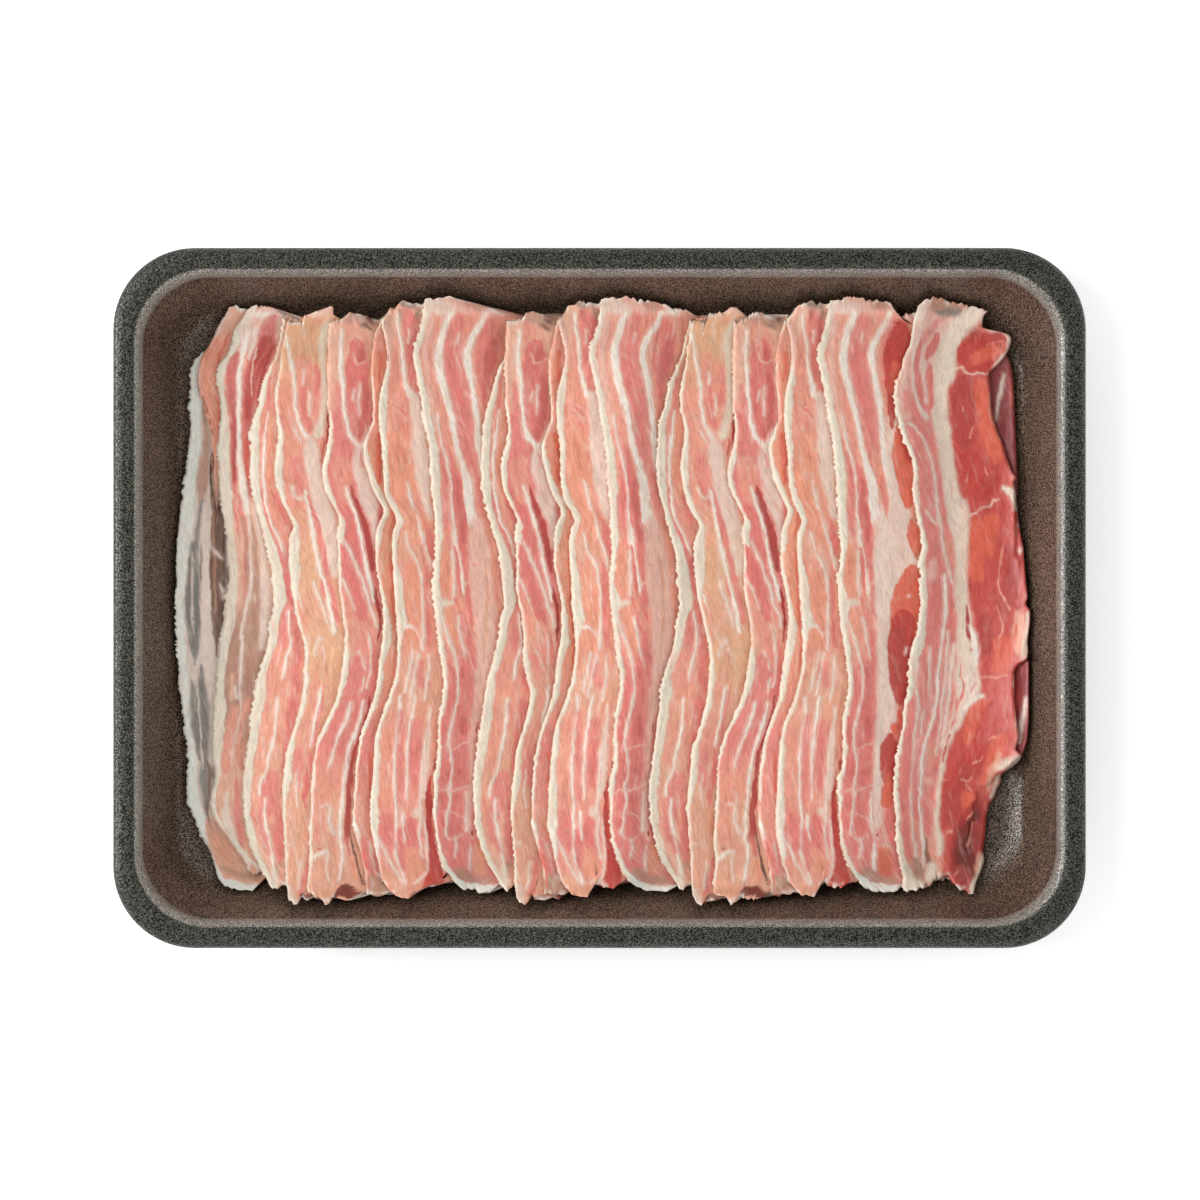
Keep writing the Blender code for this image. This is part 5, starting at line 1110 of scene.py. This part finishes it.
class Sheet:
    """The vertices of a slice's top, in rows across the slice and columns along its rim."""

    def __init__(self, piece, following, seed):
        columns_at, count = columns_of(piece, following)
        k = np.arange(count)
        far = piece.end(lambda y: columns_at(y, k), count, 1)
        near = piece.end(lambda y: columns_at(y, k), count, -1)
        if piece.kind == "flap":
            near = FLAP_END + FLAP_WAVE * np.sin(k)
        ends = np.array(END_ROWS)
        inner = int(np.median(far - near) / ROW_STEP)
        share = (np.arange(inner) + 1.0) / (inner + 1.0)
        top_y = far - ends[:, None]
        low_y = (near + ends[:, None])[::-1]
        mid_y = top_y[-1] + (low_y[0] - top_y[-1]) * share[:, None]
        y = np.concatenate([top_y, mid_y, low_y])
        columns = np.broadcast_to(k, y.shape)
        self.rows, self.count = y.shape
        self.y = y
        self.to_end = np.minimum(far - y, y - near)
        self.from_rim = columns_at(y, columns)
        self.width = columns_at(y, np.full_like(columns, count - 1))
        self.local = piece.rim(y) + self.from_rim + self.ruffle(piece, seed)
        self.x = piece.middle + self.local

    def ruffle(self, piece, seed):
        """The rim's unevenness: small nibs and longer waves."""
        flat = np.zeros_like(self.y)
        nibs = np.abs(noise(self.y, flat, NIB_SIZE, 1.0, seed))
        nibs *= NIB_LEVEL + NIB_VARIES * noise(self.y, flat, NIB_VARIES_OVER, 1.0, seed + 1)
        uneven = NIBS.get(piece.kind, 1.0) * (NIB_SHIFT - NIB_DEPTH * nibs)
        uneven += noises(self.y, flat, seed, WAVES)
        return uneven * np.exp(-self.from_rim / RUFFLE_REACH)


# ---------------------------------------------------------------- painting the marbling
HARD_EDGE = 0.16
SOFT_EDGE = 0.75
SOFT_COVER = 0.85           # strength of soft strokes, and of the others
HARD_COVER = 0.95
SOFT_SPREAD = 0.9           # a stroke's edge is no softer than this share of its half width
HARD_SPREAD = 0.6
LEAST_SPREAD = 0.08
STROKE_STEP = 1.2
SEAM_EXTRA = 0.12           # seams of fat are drawn this much wider
VEIL = 0.38                 # strength of the thin film of fat beside a white seam
VEIL_REACH = 0.8
VEILED = ("white", "cream", "pale")
BROKEN = 0.30               # how much streaks break up the fat
RIM_BLEND = 0.32            # half the width over which a rim's fat gives way to lean
DARK_FLESH = 0.08           # green light in dark red lean, where veins are faint, and in pale lean
LIGHT_FLESH = 0.26
DARK_STREAKS = 0.35         # share of the streaks that is left in dark red lean
FIBRE_SLANT = 0.14          # fibres lean this much across for each millimetre along
PALE_STREAK = 0.40
DEEP_STREAK = 0.30
BLUSH_IN_FAT = 0.30
CREAM_IN_LEAN = 0.15
FRAYED = 0.75               # strength of the white fringe at a slice's ends
FRAYED_REACH = (1.6, 0.2)   # from where it starts to where it is full, measured from the end

# the noise's values over which each marking goes from none to full
BROKEN_SPAN = (0.1, 0.9)
PALE_SPAN = (0.2, 0.85)
DEEP_SPAN = (0.15, 0.85)
BLUSH_SPAN = (0.2, 1.1)
CREAM_SPAN = (0.3, 1.2)
FRINGE_SPAN = (-0.1, 0.5)

# sums of noise: strength, size across, size along and what is added to the slice's seed
WANDER_ACROSS = ((0.20, 1.4, 2.2, 0), (0.13, 0.6, 0.9, 1))
WANDER_WITH_FIBRES = ((0.16, 0.5, 4.0, 2),)
WANDER_ALONG = ((0.45, 1.9, 2.4, 3), (0.2, 0.7, 1.1, 7))
RAGGED_FAT = ((0.20, 3.0, 0.9, 4), (0.32, 4.0, 3.5, 5), (0.16, 0.6, 0.8, 6))
STREAKS = ((0.5, 1.1, 9.0, 0), (0.45, 0.55, 4.0, 1), (0.35, 0.35, 1.6, 2))
BROKEN_SEED = 10
STREAK_SEED = 20
BLOTS = ((1.0, 1.6, 2.4, 30), (0.5, 0.7, 0.9, 31))
FRINGE = ((1.0, 1.6, 1.2, 12),)


def linear(colour):
    c = np.array(colour, float) / 255.0
    return np.where(c <= 0.04045, c / 12.92, ((c + 0.055) / 1.055) ** 2.4)


def stroke_path(numbers):
    """A stroke's points with a smooth curve worked out between them."""
    points = np.array(numbers, float).reshape(-1, 3)
    if len(points) == 1:
        return np.concatenate([points, points + (0.0, 0.01, 0.0)])
    ends = np.concatenate([points[:1] * 2 - points[1:2], points, points[-1:] * 2 - points[-2:-1]])
    path = []
    for p0, p1, p2, p3 in zip(ends, ends[1:], ends[2:], ends[3:]):
        steps = max(1, int(math.ceil(np.hypot(*(p2 - p1)[:2]) / STROKE_STEP)))
        for t in np.arange(steps) / steps:
            path.append(p1 + 0.5 * t * (p2 - p0) + t * t * (p0 - 2.5 * p1 + 2 * p2 - 0.5 * p3)
                        + t ** 3 * (1.5 * (p1 - p2) + 0.5 * (p3 - p0)))
    path.append(points[-1])
    return np.array(path)


def stroke_cover(path, soft, veiled, x, y):
    """How much of each vertex a stroke covers, from 0 to 1."""
    edge = SOFT_EDGE if soft else HARD_EDGE
    cover = np.zeros(len(x))
    for (ax, ay, aw), (bx, by, bw) in zip(path, path[1:]):
        margin = max(aw, bw) / 2 + (VEIL_REACH if veiled else edge)
        near = ((x > min(ax, bx) - margin) & (x < max(ax, bx) + margin)
                & (y > min(ay, by) - margin) & (y < max(ay, by) + margin))
        if not near.any():
            continue
        px, py = x[near], y[near]
        dx, dy = bx - ax, by - ay
        t = np.clip(((px - ax) * dx + (py - ay) * dy) / (dx * dx + dy * dy), 0.0, 1.0)
        half = 0.5 * (aw + (bw - aw) * t)
        distance = np.hypot(px - ax - t * dx, py - ay - t * dy)
        spread = np.minimum(edge, half * (SOFT_SPREAD if soft else HARD_SPREAD) + LEAST_SPREAD)
        part = smoothstep(half + spread, half - spread, distance)
        if veiled:
            part = np.maximum(part, VEIL * smoothstep(half + VEIL_REACH, half, distance))
        cover[near] = np.maximum(cover[near], part)
    return cover


def toward(colour, name, amount):
    """Each vertex's colour moved towards a paint by its own amount."""
    amount = np.asarray(amount)[:, None]
    return colour * (1.0 - amount) + linear(PAINTS[name][0]) * amount


def stroke_layers(kind, x, y, across, seed):
    """Each stroke's paint and cover, with its edges made to wander."""
    wander_x = x + noises(x, y, seed, WANDER_ACROSS) + noises(across, y, seed, WANDER_WITH_FIBRES)
    wander_y = y + noises(x, y, seed, WANDER_ALONG)
    layers = []
    for name, *numbers in KINDS[kind]["strokes"]:
        soft = name.endswith("~")
        name = name.rstrip("~")
        veiled = not soft and name in VEILED
        path = stroke_path(numbers) + ((0.0, 0.0, SEAM_EXTRA) if veiled else 0.0)
        cover = stroke_cover(path, soft, veiled, wander_x, wander_y)
        layers.append((name, cover * (SOFT_COVER if soft else HARD_COVER)))
    return layers


def paint(kind, fat_width, x, y, from_rim, seed):
    """Colour and share of fat of every vertex of a slice of this kind."""
    facts = KINDS[kind]
    across = from_rim + FIBRE_SLANT * y
    places = np.array([place for place, _ in facts["lean"]], float)[::-1]
    tones = np.array([linear(PAINTS[name][0]) for _, name in facts["lean"]])[::-1]
    colour = np.stack([np.interp(y, places, tones[:, channel]) for channel in range(3)], 1)
    fat = np.zeros(len(x))
    strokes = stroke_layers(kind, x, y, across, seed)
    ragged = fat_width + noises(x, y, seed, RAGGED_FAT)
    rim_cover = smoothstep(ragged + RIM_BLEND, ragged - RIM_BLEND, from_rim)
    layers = [(facts.get("fat_paint", "cream"), rim_cover)] + strokes
    broken = 1.0 - BROKEN * smoothstep(*BROKEN_SPAN, noises(across, y, seed + BROKEN_SEED, STREAKS))
    for name, cover in layers:
        strength = cover * (broken if name in VEILED else 1.0)
        colour = toward(colour, name, strength)
        fat = fat * (1.0 - strength) + PAINTS[name][1] * strength
    # fine marbling everywhere, more of it in the lean
    light = smoothstep(DARK_FLESH, LIGHT_FLESH, colour[:, 1])
    lean = (1.0 - fat) * (DARK_STREAKS + (1.0 - DARK_STREAKS) * light)
    streaks = noises(across, y, seed + STREAK_SEED, STREAKS)
    blots = noises(x, y, seed, BLOTS)
    colour = toward(colour, "pale", lean * PALE_STREAK * smoothstep(*PALE_SPAN, streaks))
    colour = toward(colour, "deep", lean * DEEP_STREAK * smoothstep(*DEEP_SPAN, -streaks))
    colour = toward(colour, "blush", fat * BLUSH_IN_FAT * smoothstep(*BLUSH_SPAN, blots))
    colour = toward(colour, "cream", lean * CREAM_IN_LEAN * smoothstep(*CREAM_SPAN, -blots))
    return colour, fat


def paint_slice(piece, sheet, seed):
    """Colour and share of fat of a slice's top, whose near part may be of another kind."""
    x, y, from_rim = sheet.local.ravel(), sheet.y.ravel(), sheet.from_rim.ravel()
    if "near" in piece.facts:
        colour, fat = paint(piece.kind, piece.fat(y), x - FAR_SHIFT, y, from_rim, seed)
        near_colour, near_fat = paint(piece.facts["near"], piece.fat(y), x - NEAR_SHIFT, y, from_rim, seed)
        turn = smoothstep(*TURNS_AT, y)
        colour = colour * (1 - turn[:, None]) + near_colour * turn[:, None]
        fat = fat * (1 - turn) + near_fat * turn
    else:
        colour, fat = paint(piece.kind, piece.fat(y), x, y, from_rim, seed)
    fringe = smoothstep(*FRINGE_SPAN, noises(sheet.x, sheet.y, seed, FRINGE))
    frayed = smoothstep(*FRAYED_REACH, sheet.to_end) * fringe
    return toward(colour, "white", FRAYED * frayed.ravel()), fat


# ---------------------------------------------------------------- slice mesh
BELOW_STEP = 8              # the underside has one column for this many on top
LEAST_LAST = 3              # its last two columns stand at least this many apart
HIDDEN_FAT = 0.5            # share of fat of the underside
END_TAPER = 1.6
RIM_ROUND = 1.0
THINNER = 0.15              # a dressed slice is this much thinner than its solid
LEAST_THICK = 0.9
REST_BLUR = 1.0             # blur of the tray's own surface under the slices
REST_GAP = 0.06
LAID_GAP = 0.05
BORDER_LEVEL = 0.35         # the thin border lies at this share of the thickness
FAT_RELIEF = 0.10           # fat stands this much higher than lean
FAT_LEVEL = 0.4
RELIEF = ((0.10, 2.2, 3.6, 7), (0.05, 0.8, 1.3, 8))
PUCKER = ((0.14, 9.0, 1.5, 9),)
PUCKER_REACH = 2.0
SEED_STEP = 31              # seeds of one slice and the next lie this far apart
FIRST_SEED = 5
GRAIN_APART = 7.0           # sets each slice's fibre noise apart from the others'


def full_share(piece, sheet):
    """From 0 at a slice's border to 1 where it has its full thickness."""
    share = np.minimum(round_over(sheet.to_end, END_TAPER), round_over(sheet.from_rim, RIM_ROUND))
    if "right" in piece.facts:
        share = np.minimum(share, round_over(sheet.width - sheet.from_rim, RIM_ROUND))
    share[[0, -1], :] = 0.0
    share[:, [0, -1]] = 0.0
    return share


def skin_faces(sheet, bottom, first_extra):
    """Small faces on top and few, wide ones below, with the vertices that the underside adds."""
    rows, count = sheet.rows, sheet.count
    index = np.arange(rows * count).reshape(rows, count)
    quads = np.stack([index[:-1, :-1], index[1:, :-1], index[1:, 1:], index[:-1, 1:]], -1)
    faces = quads.reshape(-1, 4).tolist()
    kept = list(range(0, count - 1, BELOW_STEP))[1:]
    if kept and count - 1 - kept[-1] < LEAST_LAST:
        kept.pop()
    kept = [0] + kept + [count - 1]
    below = np.full((rows, count), -1)
    below[:, 0], below[:, -1] = index[:, 0], index[:, -1]
    below[0], below[-1] = index[0], index[-1]
    extra = []
    for column in kept[1:-1]:
        for row in range(1, rows - 1):
            below[row, column] = first_extra + len(extra)
            extra.append((sheet.x[row, column], sheet.y[row, column], bottom[row, column]))

    def edge(row, a, b):
        """The underside's vertices from column a to b: all of them in the first and last row."""
        between = below[row, a:b + 1] if row in (0, rows - 1) else below[row, [a, b]]
        return between.tolist()

    for a, b in zip(kept, kept[1:]):
        for row in range(rows - 1):
            faces.append(edge(row, a, b) + edge(row + 1, a, b)[::-1])
    return faces, np.array(extra).reshape(-1, 3)


def new_object(name, verts, faces):
    """A smooth mesh object from millimetres."""
    mesh = bpy.data.meshes.new(name)
    mesh.from_pydata((np.asarray(verts) * MM).tolist(), [], faces)
    mesh.polygons.foreach_set("use_smooth", np.ones(len(mesh.polygons), bool))
    thing = bpy.data.objects.new(name, mesh)
    bpy.context.collection.objects.link(thing)
    return thing


def store(mesh, name, kind, key, values):
    """Keeps a value for each vertex, for the materials to read."""
    mesh.attributes.new(name, kind, "POINT").data.foreach_set(key, np.asarray(values).ravel())


def build_slice(piece, following, tray, laid):
    """The slice's skin, and the grid of what has been laid so far."""
    seed = SEED_STEP * piece.index + FIRST_SEED
    sheet = Sheet(piece, following, seed)
    x, y = sheet.x, sheet.y
    colour, fat = paint_slice(piece, sheet, seed)

    # heights: the solid's own, smoothed, and never inside the slices already laid
    under = blur(fill(tray), REST_BLUR) + piece.lift + REST_GAP
    under = np.fmax(under, laid + REST_GAP)
    base = Grid.sample(under, x, y)
    thick = np.maximum(Grid.sample(piece.thick, x, y) - THINNER, LEAST_THICK)
    full = full_share(piece, sheet)
    relief = FAT_RELIEF * (fat.reshape(y.shape) - FAT_LEVEL) + noises(x, y, seed, RELIEF)
    relief += noises(x, y, seed, PUCKER) * np.exp(-sheet.from_rim / PUCKER_REACH)
    top = base + BORDER_LEVEL * thick + ((1.0 - BORDER_LEVEL) * thick + relief) * full
    bottom = base + BORDER_LEVEL * thick * (1.0 - full)

    verts = np.stack([x, y, top], -1).reshape(-1, 3)
    faces, extra = skin_faces(sheet, bottom, len(verts))
    skin = new_object(piece.node + "_skin", np.concatenate([verts, extra]), faces)
    hidden = len(extra)
    colour = np.concatenate([colour, np.tile(linear(PAINTS["shell"][0]), (hidden, 1))])
    colour = np.concatenate([colour, np.ones((len(colour), 1))], 1)
    skin.data.color_attributes.new("flesh", "FLOAT_COLOR", "POINT").data.foreach_set("color", colour.ravel())
    store(skin.data, "fat", "FLOAT", "value", np.concatenate([fat, np.full(hidden, HIDDEN_FAT)]))
    across = np.concatenate([(sheet.from_rim + FIBRE_SLANT * y).ravel(), np.zeros(hidden)])
    along = np.concatenate([y.ravel(), np.zeros(hidden)])
    grain = np.stack([across, along, np.full(len(across), GRAIN_APART * piece.index)], 1)
    store(skin.data, "grain", "FLOAT_VECTOR", "vector", grain)
    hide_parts(piece.node)
    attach(skin, "root")

    # what later slices rest on
    grid_x, grid_y = np.meshgrid(Grid.xs, Grid.ys, indexing="ij")
    surface = under + np.maximum(piece.thick - THINNER, LEAST_THICK) + LAID_GAP
    return skin, np.where(piece.covers(grid_x, grid_y), np.fmax(laid, surface), laid)


# ---------------------------------------------------------------- tray
CORNER_STEPS = 24
CORNER_RADIUS = 21.0
CORNER_TIGHTENING = 0.4     # a corner's radius shrinks by this share of the inset
ROUND_STEPS = 5
BEND_REACH = 1.0            # a bend is eased over this much, or this share of the shorter side
BEND_SHARE = 0.4
LIP_INSET = 6.5             # the painted highlight: a paler line round the flange's inner edge
LIP_HALF = 1.2
LIP_FADE = 0.3
LIP_ABOVE = 20.0
REFLECTION_FROM = 23.0           # the inside is painted with a brown reflection of the meat from this height down
REFLECTION_OVER = 3.0

# the profile from the base outside to the floor inside, as (inset, height)
OUTER = ((17.5, 0.0), (15.4, 0.6), (13.0, 2.2), (11.2, 5.0), (4.5, 19.4), (3.3, 20.9))
RIM = ((0.6, 20.9), (0.0, 21.5), (0.0, 22.7), (0.8, 23.7), (2.0, 24.0), (4.6, 24.0), (6.2, 23.5))
INNER = ((7.1, 22.4), (7.7, 20.8), (14.2, 7.4), (15.8, 5.0), (18.2, 3.5), (21.0, 3.0))


def eased_profile():
    """The profile's rings as (inset, height, inside), with every bend but the end ones eased."""
    profile = np.array(OUTER + RIM + INNER)
    rings = []
    for number, here in enumerate(profile):
        inside = number >= len(OUTER) + len(RIM) - 1
        if number in (0, len(profile) - 1):
            rings.append((*here, inside))
            continue
        sides = [profile[number - 1] - here, profile[number + 1] - here]
        lengths = [np.hypot(*side) for side in sides]
        reach = min(BEND_REACH, *(BEND_SHARE * length for length in lengths))
        start, stop = (here + side / length * reach for side, length in zip(sides, lengths))
        for t in np.linspace(0.0, 1.0, ROUND_STEPS):
            place = (1 - t) ** 2 * start + 2 * t * (1 - t) * here + t * t * stop
            rings.append((*place, inside))
    return rings


def build_tray():
    """The solid's own profile with finer corners and eased bends."""
    low, high = (np.array(corner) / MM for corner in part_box("foam_tray"))
    half_x, half_y = (high[0] - low[0]) / 2, (high[1] - low[1]) / 2
    verts = []
    meat_reflections = []
    lip_highlights = []
    rings = eased_profile()
    for inset, height, inside in rings:
        radius = CORNER_RADIUS - CORNER_TIGHTENING * inset
        # painted reflection: how strongly the inside wall takes the meat's brown reflection
        brown = float(inside) * min(max((REFLECTION_FROM - height) / REFLECTION_OVER, 0.0), 1.0)
        # painted highlight: the band of the lip that is painted paler
        lip_highlight = min(1.0, max(0.0, LIP_HALF - abs(inset - LIP_INSET)) / LIP_FADE) if height > LIP_ABOVE else 0.0
        for quarter, (sx, sy) in enumerate(((1, 1), (-1, 1), (-1, -1), (1, -1))):
            cx, cy = sx * (half_x - inset - radius), sy * (half_y - inset - radius)
            for step in range(CORNER_STEPS + 1):
                angle = math.pi / 2 * (quarter + step / CORNER_STEPS)
                verts.append((cx + radius * math.cos(angle), cy + radius * math.sin(angle), height))
                meat_reflections.append(brown)
                lip_highlights.append(lip_highlight)
    count = 4 * (CORNER_STEPS + 1)
    faces = []
    for ring in range(len(rings) - 1):
        for i in range(count):
            j = (i + 1) % count
            faces.append((ring * count + i, ring * count + j, (ring + 1) * count + j, (ring + 1) * count + i))
    faces.append(tuple(reversed(range(count))))
    faces.append(tuple(range((len(rings) - 1) * count, len(rings) * count)))
    tray = new_object("tray_foam", verts, faces)
    store(tray.data, "inner", "FLOAT", "value", meat_reflections)
    store(tray.data, "lip_highlight", "FLOAT", "value", lip_highlights)
    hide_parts("foam_tray")
    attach(tray, "root")
    return tray


# ---------------------------------------------------------------- materials
NOISE_SPAN = (0.3, 0.7)     # the part of a noise's values that counts
SPECK_SPAN = (0.42, 0.66)
WHOLE = (0.0, 1.0)
OUTER_FOAM = (43, 43, 35)
# tone of the inside: a painted reflection of the meat, lighter and browner than the foam itself
INNER_REFLECTION_FOAM = (81, 65, 53)
# colour of the painted highlight on the lip
LIP_HIGHLIGHT_FOAM = (118, 112, 104)
SPECK_CONTRAST = (0.0, 2.6)
LIP_SMOOTHER = 0.5          # the lip's specks are this much fainter
LIP_SHINE = -0.12           # and its roughness is lower by this


class Nodes:
    """A material's node tree, with short ways to add and join nodes."""

    def __init__(self, name):
        self.material = bpy.data.materials.new(name)
        self.material.use_nodes = True
        self.tree = self.material.node_tree
        self.shader = self.tree.nodes["Principled BSDF"]

    def add(self, kind, **settings):
        node = self.tree.nodes.new(kind)
        for key, value in settings.items():
            if hasattr(node, key):
                setattr(node, key, value)
            else:
                node.inputs[key.replace("_", " ")].default_value = value
        return node

    def join(self, source, target):
        self.tree.links.new(source, target)

    def plug(self, value, socket):
        """Joins an output to a socket, or sets the socket to a plain value."""
        if hasattr(value, "node"):
            self.join(value, socket)
        else:
            socket.default_value = value

    def attribute(self, name, output="Fac"):
        return self.add("ShaderNodeAttribute", attribute_name=name).outputs[output]

    def texture(self, kind, scale, stretch=(1.0, 1.0, 1.0), place=None, **settings):
        """A texture in the object's own space, or at another place, stretched by its axes."""
        mapping = self.add("ShaderNodeMapping")
        mapping.inputs["Scale"].default_value = stretch
        node = self.add(kind, Scale=scale, **settings)
        if place is None:
            place = self.add("ShaderNodeTexCoord").outputs["Object"]
        self.join(place, mapping.inputs["Vector"])
        self.join(mapping.outputs["Vector"], node.inputs["Vector"])
        return node.outputs["Distance" if kind == "ShaderNodeTexVoronoi" else "Fac"]

    def ramp(self, source, span, result):
        node = self.add("ShaderNodeMapRange")
        for key, value in zip(("From Min", "From Max", "To Min", "To Max"), (*span, *result)):
            node.inputs[key].default_value = value
        self.join(source, node.inputs["Value"])
        return node.outputs["Result"]

    def combine(self, operation, *values):
        node = self.add("ShaderNodeMath", operation=operation)
        for value, socket in zip(values, node.inputs):
            self.plug(value, socket)
        return node.outputs[0]

    def mix(self, factor, a, b):
        node = self.add("ShaderNodeMix", data_type="RGBA")
        for value, socket in zip((factor, a, b), (node.inputs["Factor"], node.inputs[6], node.inputs[7])):
            self.plug(value, socket)
        return node.outputs[2]

    def scale(self, colour, tone):
        node = self.add("ShaderNodeVectorMath", operation="SCALE")
        self.join(colour, node.inputs[0])
        self.join(tone, node.inputs["Scale"])
        return node.outputs[0]

    def bump(self, height, strength, distance, before=None):
        node = self.add("ShaderNodeBump")
        node.inputs["Strength"].default_value = strength
        node.inputs["Distance"].default_value = distance
        self.join(height, node.inputs["Height"])
        if before:
            self.join(before, node.inputs["Normal"])
        return node.outputs["Normal"]

    def shade(self, **values):
        """Sets the shader's inputs, or joins outputs to them."""
        for key, value in values.items():
            self.plug(value, self.shader.inputs[key.replace("_", " ")])


def rgba(srgb):
    return (*linear(srgb), 1.0)


def grey(value):
    return (value, value, value, 1.0)


def pork_material():
    nodes = Nodes("raw_pork")
    fibres = nodes.texture("ShaderNodeTexNoise", 2.6, (1.0, 0.16, 1.0), nodes.attribute("grain", "Vector"),
                           Detail=4.0, Roughness=0.65)
    mottle = nodes.texture("ShaderNodeTexNoise", 260.0, (1.0, 0.7, 1.0), Detail=3.0)
    grain = nodes.texture("ShaderNodeTexNoise", 2600.0, Detail=2.0)
    fibre_tone = nodes.ramp(fibres, NOISE_SPAN, (0.76, 1.06))
    mottle_tone = nodes.ramp(mottle, NOISE_SPAN, (0.94, 1.05))
    tone = nodes.combine("MULTIPLY", fibre_tone, mottle_tone)
    fibre_relief = nodes.bump(fibres, 0.45, 0.00015)
    nodes.shade(Base_Color=nodes.scale(nodes.attribute("flesh", "Color"), tone),
                Roughness=nodes.ramp(nodes.attribute("fat"), WHOLE, (0.36, 0.5)),
                Normal=nodes.bump(grain, 0.3, 0.00008, fibre_relief),
                Subsurface_Weight=0.08,
                Subsurface_Radius=(1.0, 0.45, 0.3),
                Subsurface_Scale=0.0012,
                Specular_IOR_Level=0.45)
    return nodes.material


def foam_material():
    nodes = Nodes("speckled_foam")
    speck = nodes.texture("ShaderNodeTexNoise", 2900.0, Detail=1.0, Roughness=0.6)
    cloud = nodes.texture("ShaderNodeTexNoise", 60.0, Detail=2.0)
    beads = nodes.texture("ShaderNodeTexVoronoi", 900.0)
    lip_highlight = nodes.attribute("lip_highlight")
    # painted reflection: the inside of the tray is given a lighter, browner tone in place of the meat's
    # reflection
    base = nodes.mix(nodes.attribute("inner"), rgba(OUTER_FOAM), rgba(INNER_REFLECTION_FOAM))
    # painted highlight: the lip band is painted paler
    base = nodes.mix(lip_highlight, base, rgba(LIP_HIGHLIGHT_FOAM))
    flecks = nodes.ramp(speck, SPECK_SPAN, SPECK_CONTRAST)
    smoother = nodes.add("ShaderNodeMix", data_type="FLOAT")
    nodes.join(nodes.ramp(lip_highlight, WHOLE, (0.0, LIP_SMOOTHER)), smoother.inputs[0])
    nodes.join(flecks, smoother.inputs[2])
    smoother.inputs[3].default_value = 1.0
    tone = nodes.combine("MULTIPLY", smoother.outputs[0], nodes.ramp(cloud, NOISE_SPAN, (0.92, 1.08)))
    speck_shine = nodes.ramp(speck, NOISE_SPAN, (0.46, 0.30))
    bead_relief = nodes.bump(beads, 0.35, 0.0002)
    nodes.shade(Base_Color=nodes.scale(base, tone),
                Roughness=nodes.combine("MULTIPLY_ADD", lip_highlight, LIP_SHINE, speck_shine),
                Specular_IOR_Level=nodes.ramp(speck, SPECK_SPAN, (0.2, 1.0)),
                Normal=nodes.bump(speck, 0.5, 0.00012, bead_relief))
    return nodes.material


def floor_material():
    nodes = Nodes("studio_floor")
    cloud = nodes.texture("ShaderNodeTexNoise", 8.0, Detail=1.0)
    nodes.shade(Base_Color=nodes.mix(nodes.ramp(cloud, NOISE_SPAN, WHOLE), grey(0.93), grey(0.95)),
                Emission_Color=grey(1.0),
                Emission_Strength=0.35,
                Roughness=0.9,
                Specular_IOR_Level=0.1)
    return nodes.material


# ---------------------------------------------------------------- stage, light and camera
FLOOR_HALF = 1.5
FLOOR_GAP = 0.0001          # keeps the floor just clear of the tray
SKY_SPAN = (0.72, 0.97)     # the sky is bright below the first height and dim above the second
SKY_LEVELS = (0.95, 0.22)

# name, place, size and energy
LIGHTS = (("key", (-0.9, 0.2, 1.45), 0.9, 10.3),
          ("side", (-1.5, 0.15, 0.72), 0.30, 12.5),
          ("fill", (0.4, -1.1, 1.3), 1.2, 3.8))
LENS = 400.0
SENSOR = 36.0
CAMERA_ABOVE = 3.4256
CAMERA_ASIDE = (0.00013, -0.00051)
CLIP_END = 20.0


def build_floor():
    mesh = bpy.data.meshes.new("floor")
    corners = [(x * FLOOR_HALF, y * FLOOR_HALF, 0.0) for x, y in ((-1, -1), (1, -1), (1, 1), (-1, 1))]
    mesh.from_pydata(corners, [], [(0, 1, 2, 3)])
    floor = bpy.data.objects.new("floor", mesh)
    floor.location.z = CAD_BOX[0][2] - FLOOR_GAP
    bpy.context.collection.objects.link(floor)
    mesh.materials.append(floor_material())


def build_world():
    """White light from all round, dimmer from straight above."""
    world = bpy.data.worlds.new("studio")
    world.use_nodes = True
    tree = world.node_tree
    direction = tree.nodes.new("ShaderNodeTexCoord")
    parts = tree.nodes.new("ShaderNodeSeparateXYZ")
    level = tree.nodes.new("ShaderNodeMapRange")
    for key, value in zip(("From Min", "From Max", "To Min", "To Max"), (*SKY_SPAN, *SKY_LEVELS)):
        level.inputs[key].default_value = value
    tree.links.new(direction.outputs["Generated"], parts.inputs["Vector"])
    tree.links.new(parts.outputs["Z"], level.inputs["Value"])
    tree.links.new(level.outputs["Result"], tree.nodes["Background"].inputs["Strength"])
    tree.nodes["Background"].inputs["Color"].default_value = grey(1.0)
    bpy.context.scene.world = world


def build_lights():
    for name, place, size, energy in LIGHTS:
        light = bpy.data.lights.new(name, "AREA")
        light.size = size
        light.energy = energy
        lamp = bpy.data.objects.new(name, light)
        lamp.location = place
        lamp.rotation_euler = (-Vector(place)).to_track_quat("-Z", "Y").to_euler()
        bpy.context.collection.objects.link(lamp)


def build_camera():
    camera = bpy.data.cameras.new("camera")
    camera.lens = LENS
    camera.sensor_width = SENSOR
    camera.clip_end = CLIP_END
    eye = bpy.data.objects.new("camera", camera)
    eye.location = (*CAMERA_ASIDE, CAD_BOX[1][2] + CAMERA_ABOVE)
    bpy.context.collection.objects.link(eye)
    bpy.context.scene.camera = eye
    bpy.context.scene.view_settings.view_transform = "Standard"


def build_pack():
    tray = build_tray()
    tray.data.materials.append(foam_material())
    meat = pork_material()
    floor = fill(cast("foam_tray", False))
    laid = floor
    slices = [Slice(index, floor) for index in range(len(STACK))]
    for piece, following in zip(slices, slices[1:] + [None]):
        skin, laid = build_slice(piece, following, floor, laid)
        skin.data.materials.append(meat)


build_floor()
build_world()
build_lights()
build_camera()
build_pack()
bpy.context.view_layer.update()
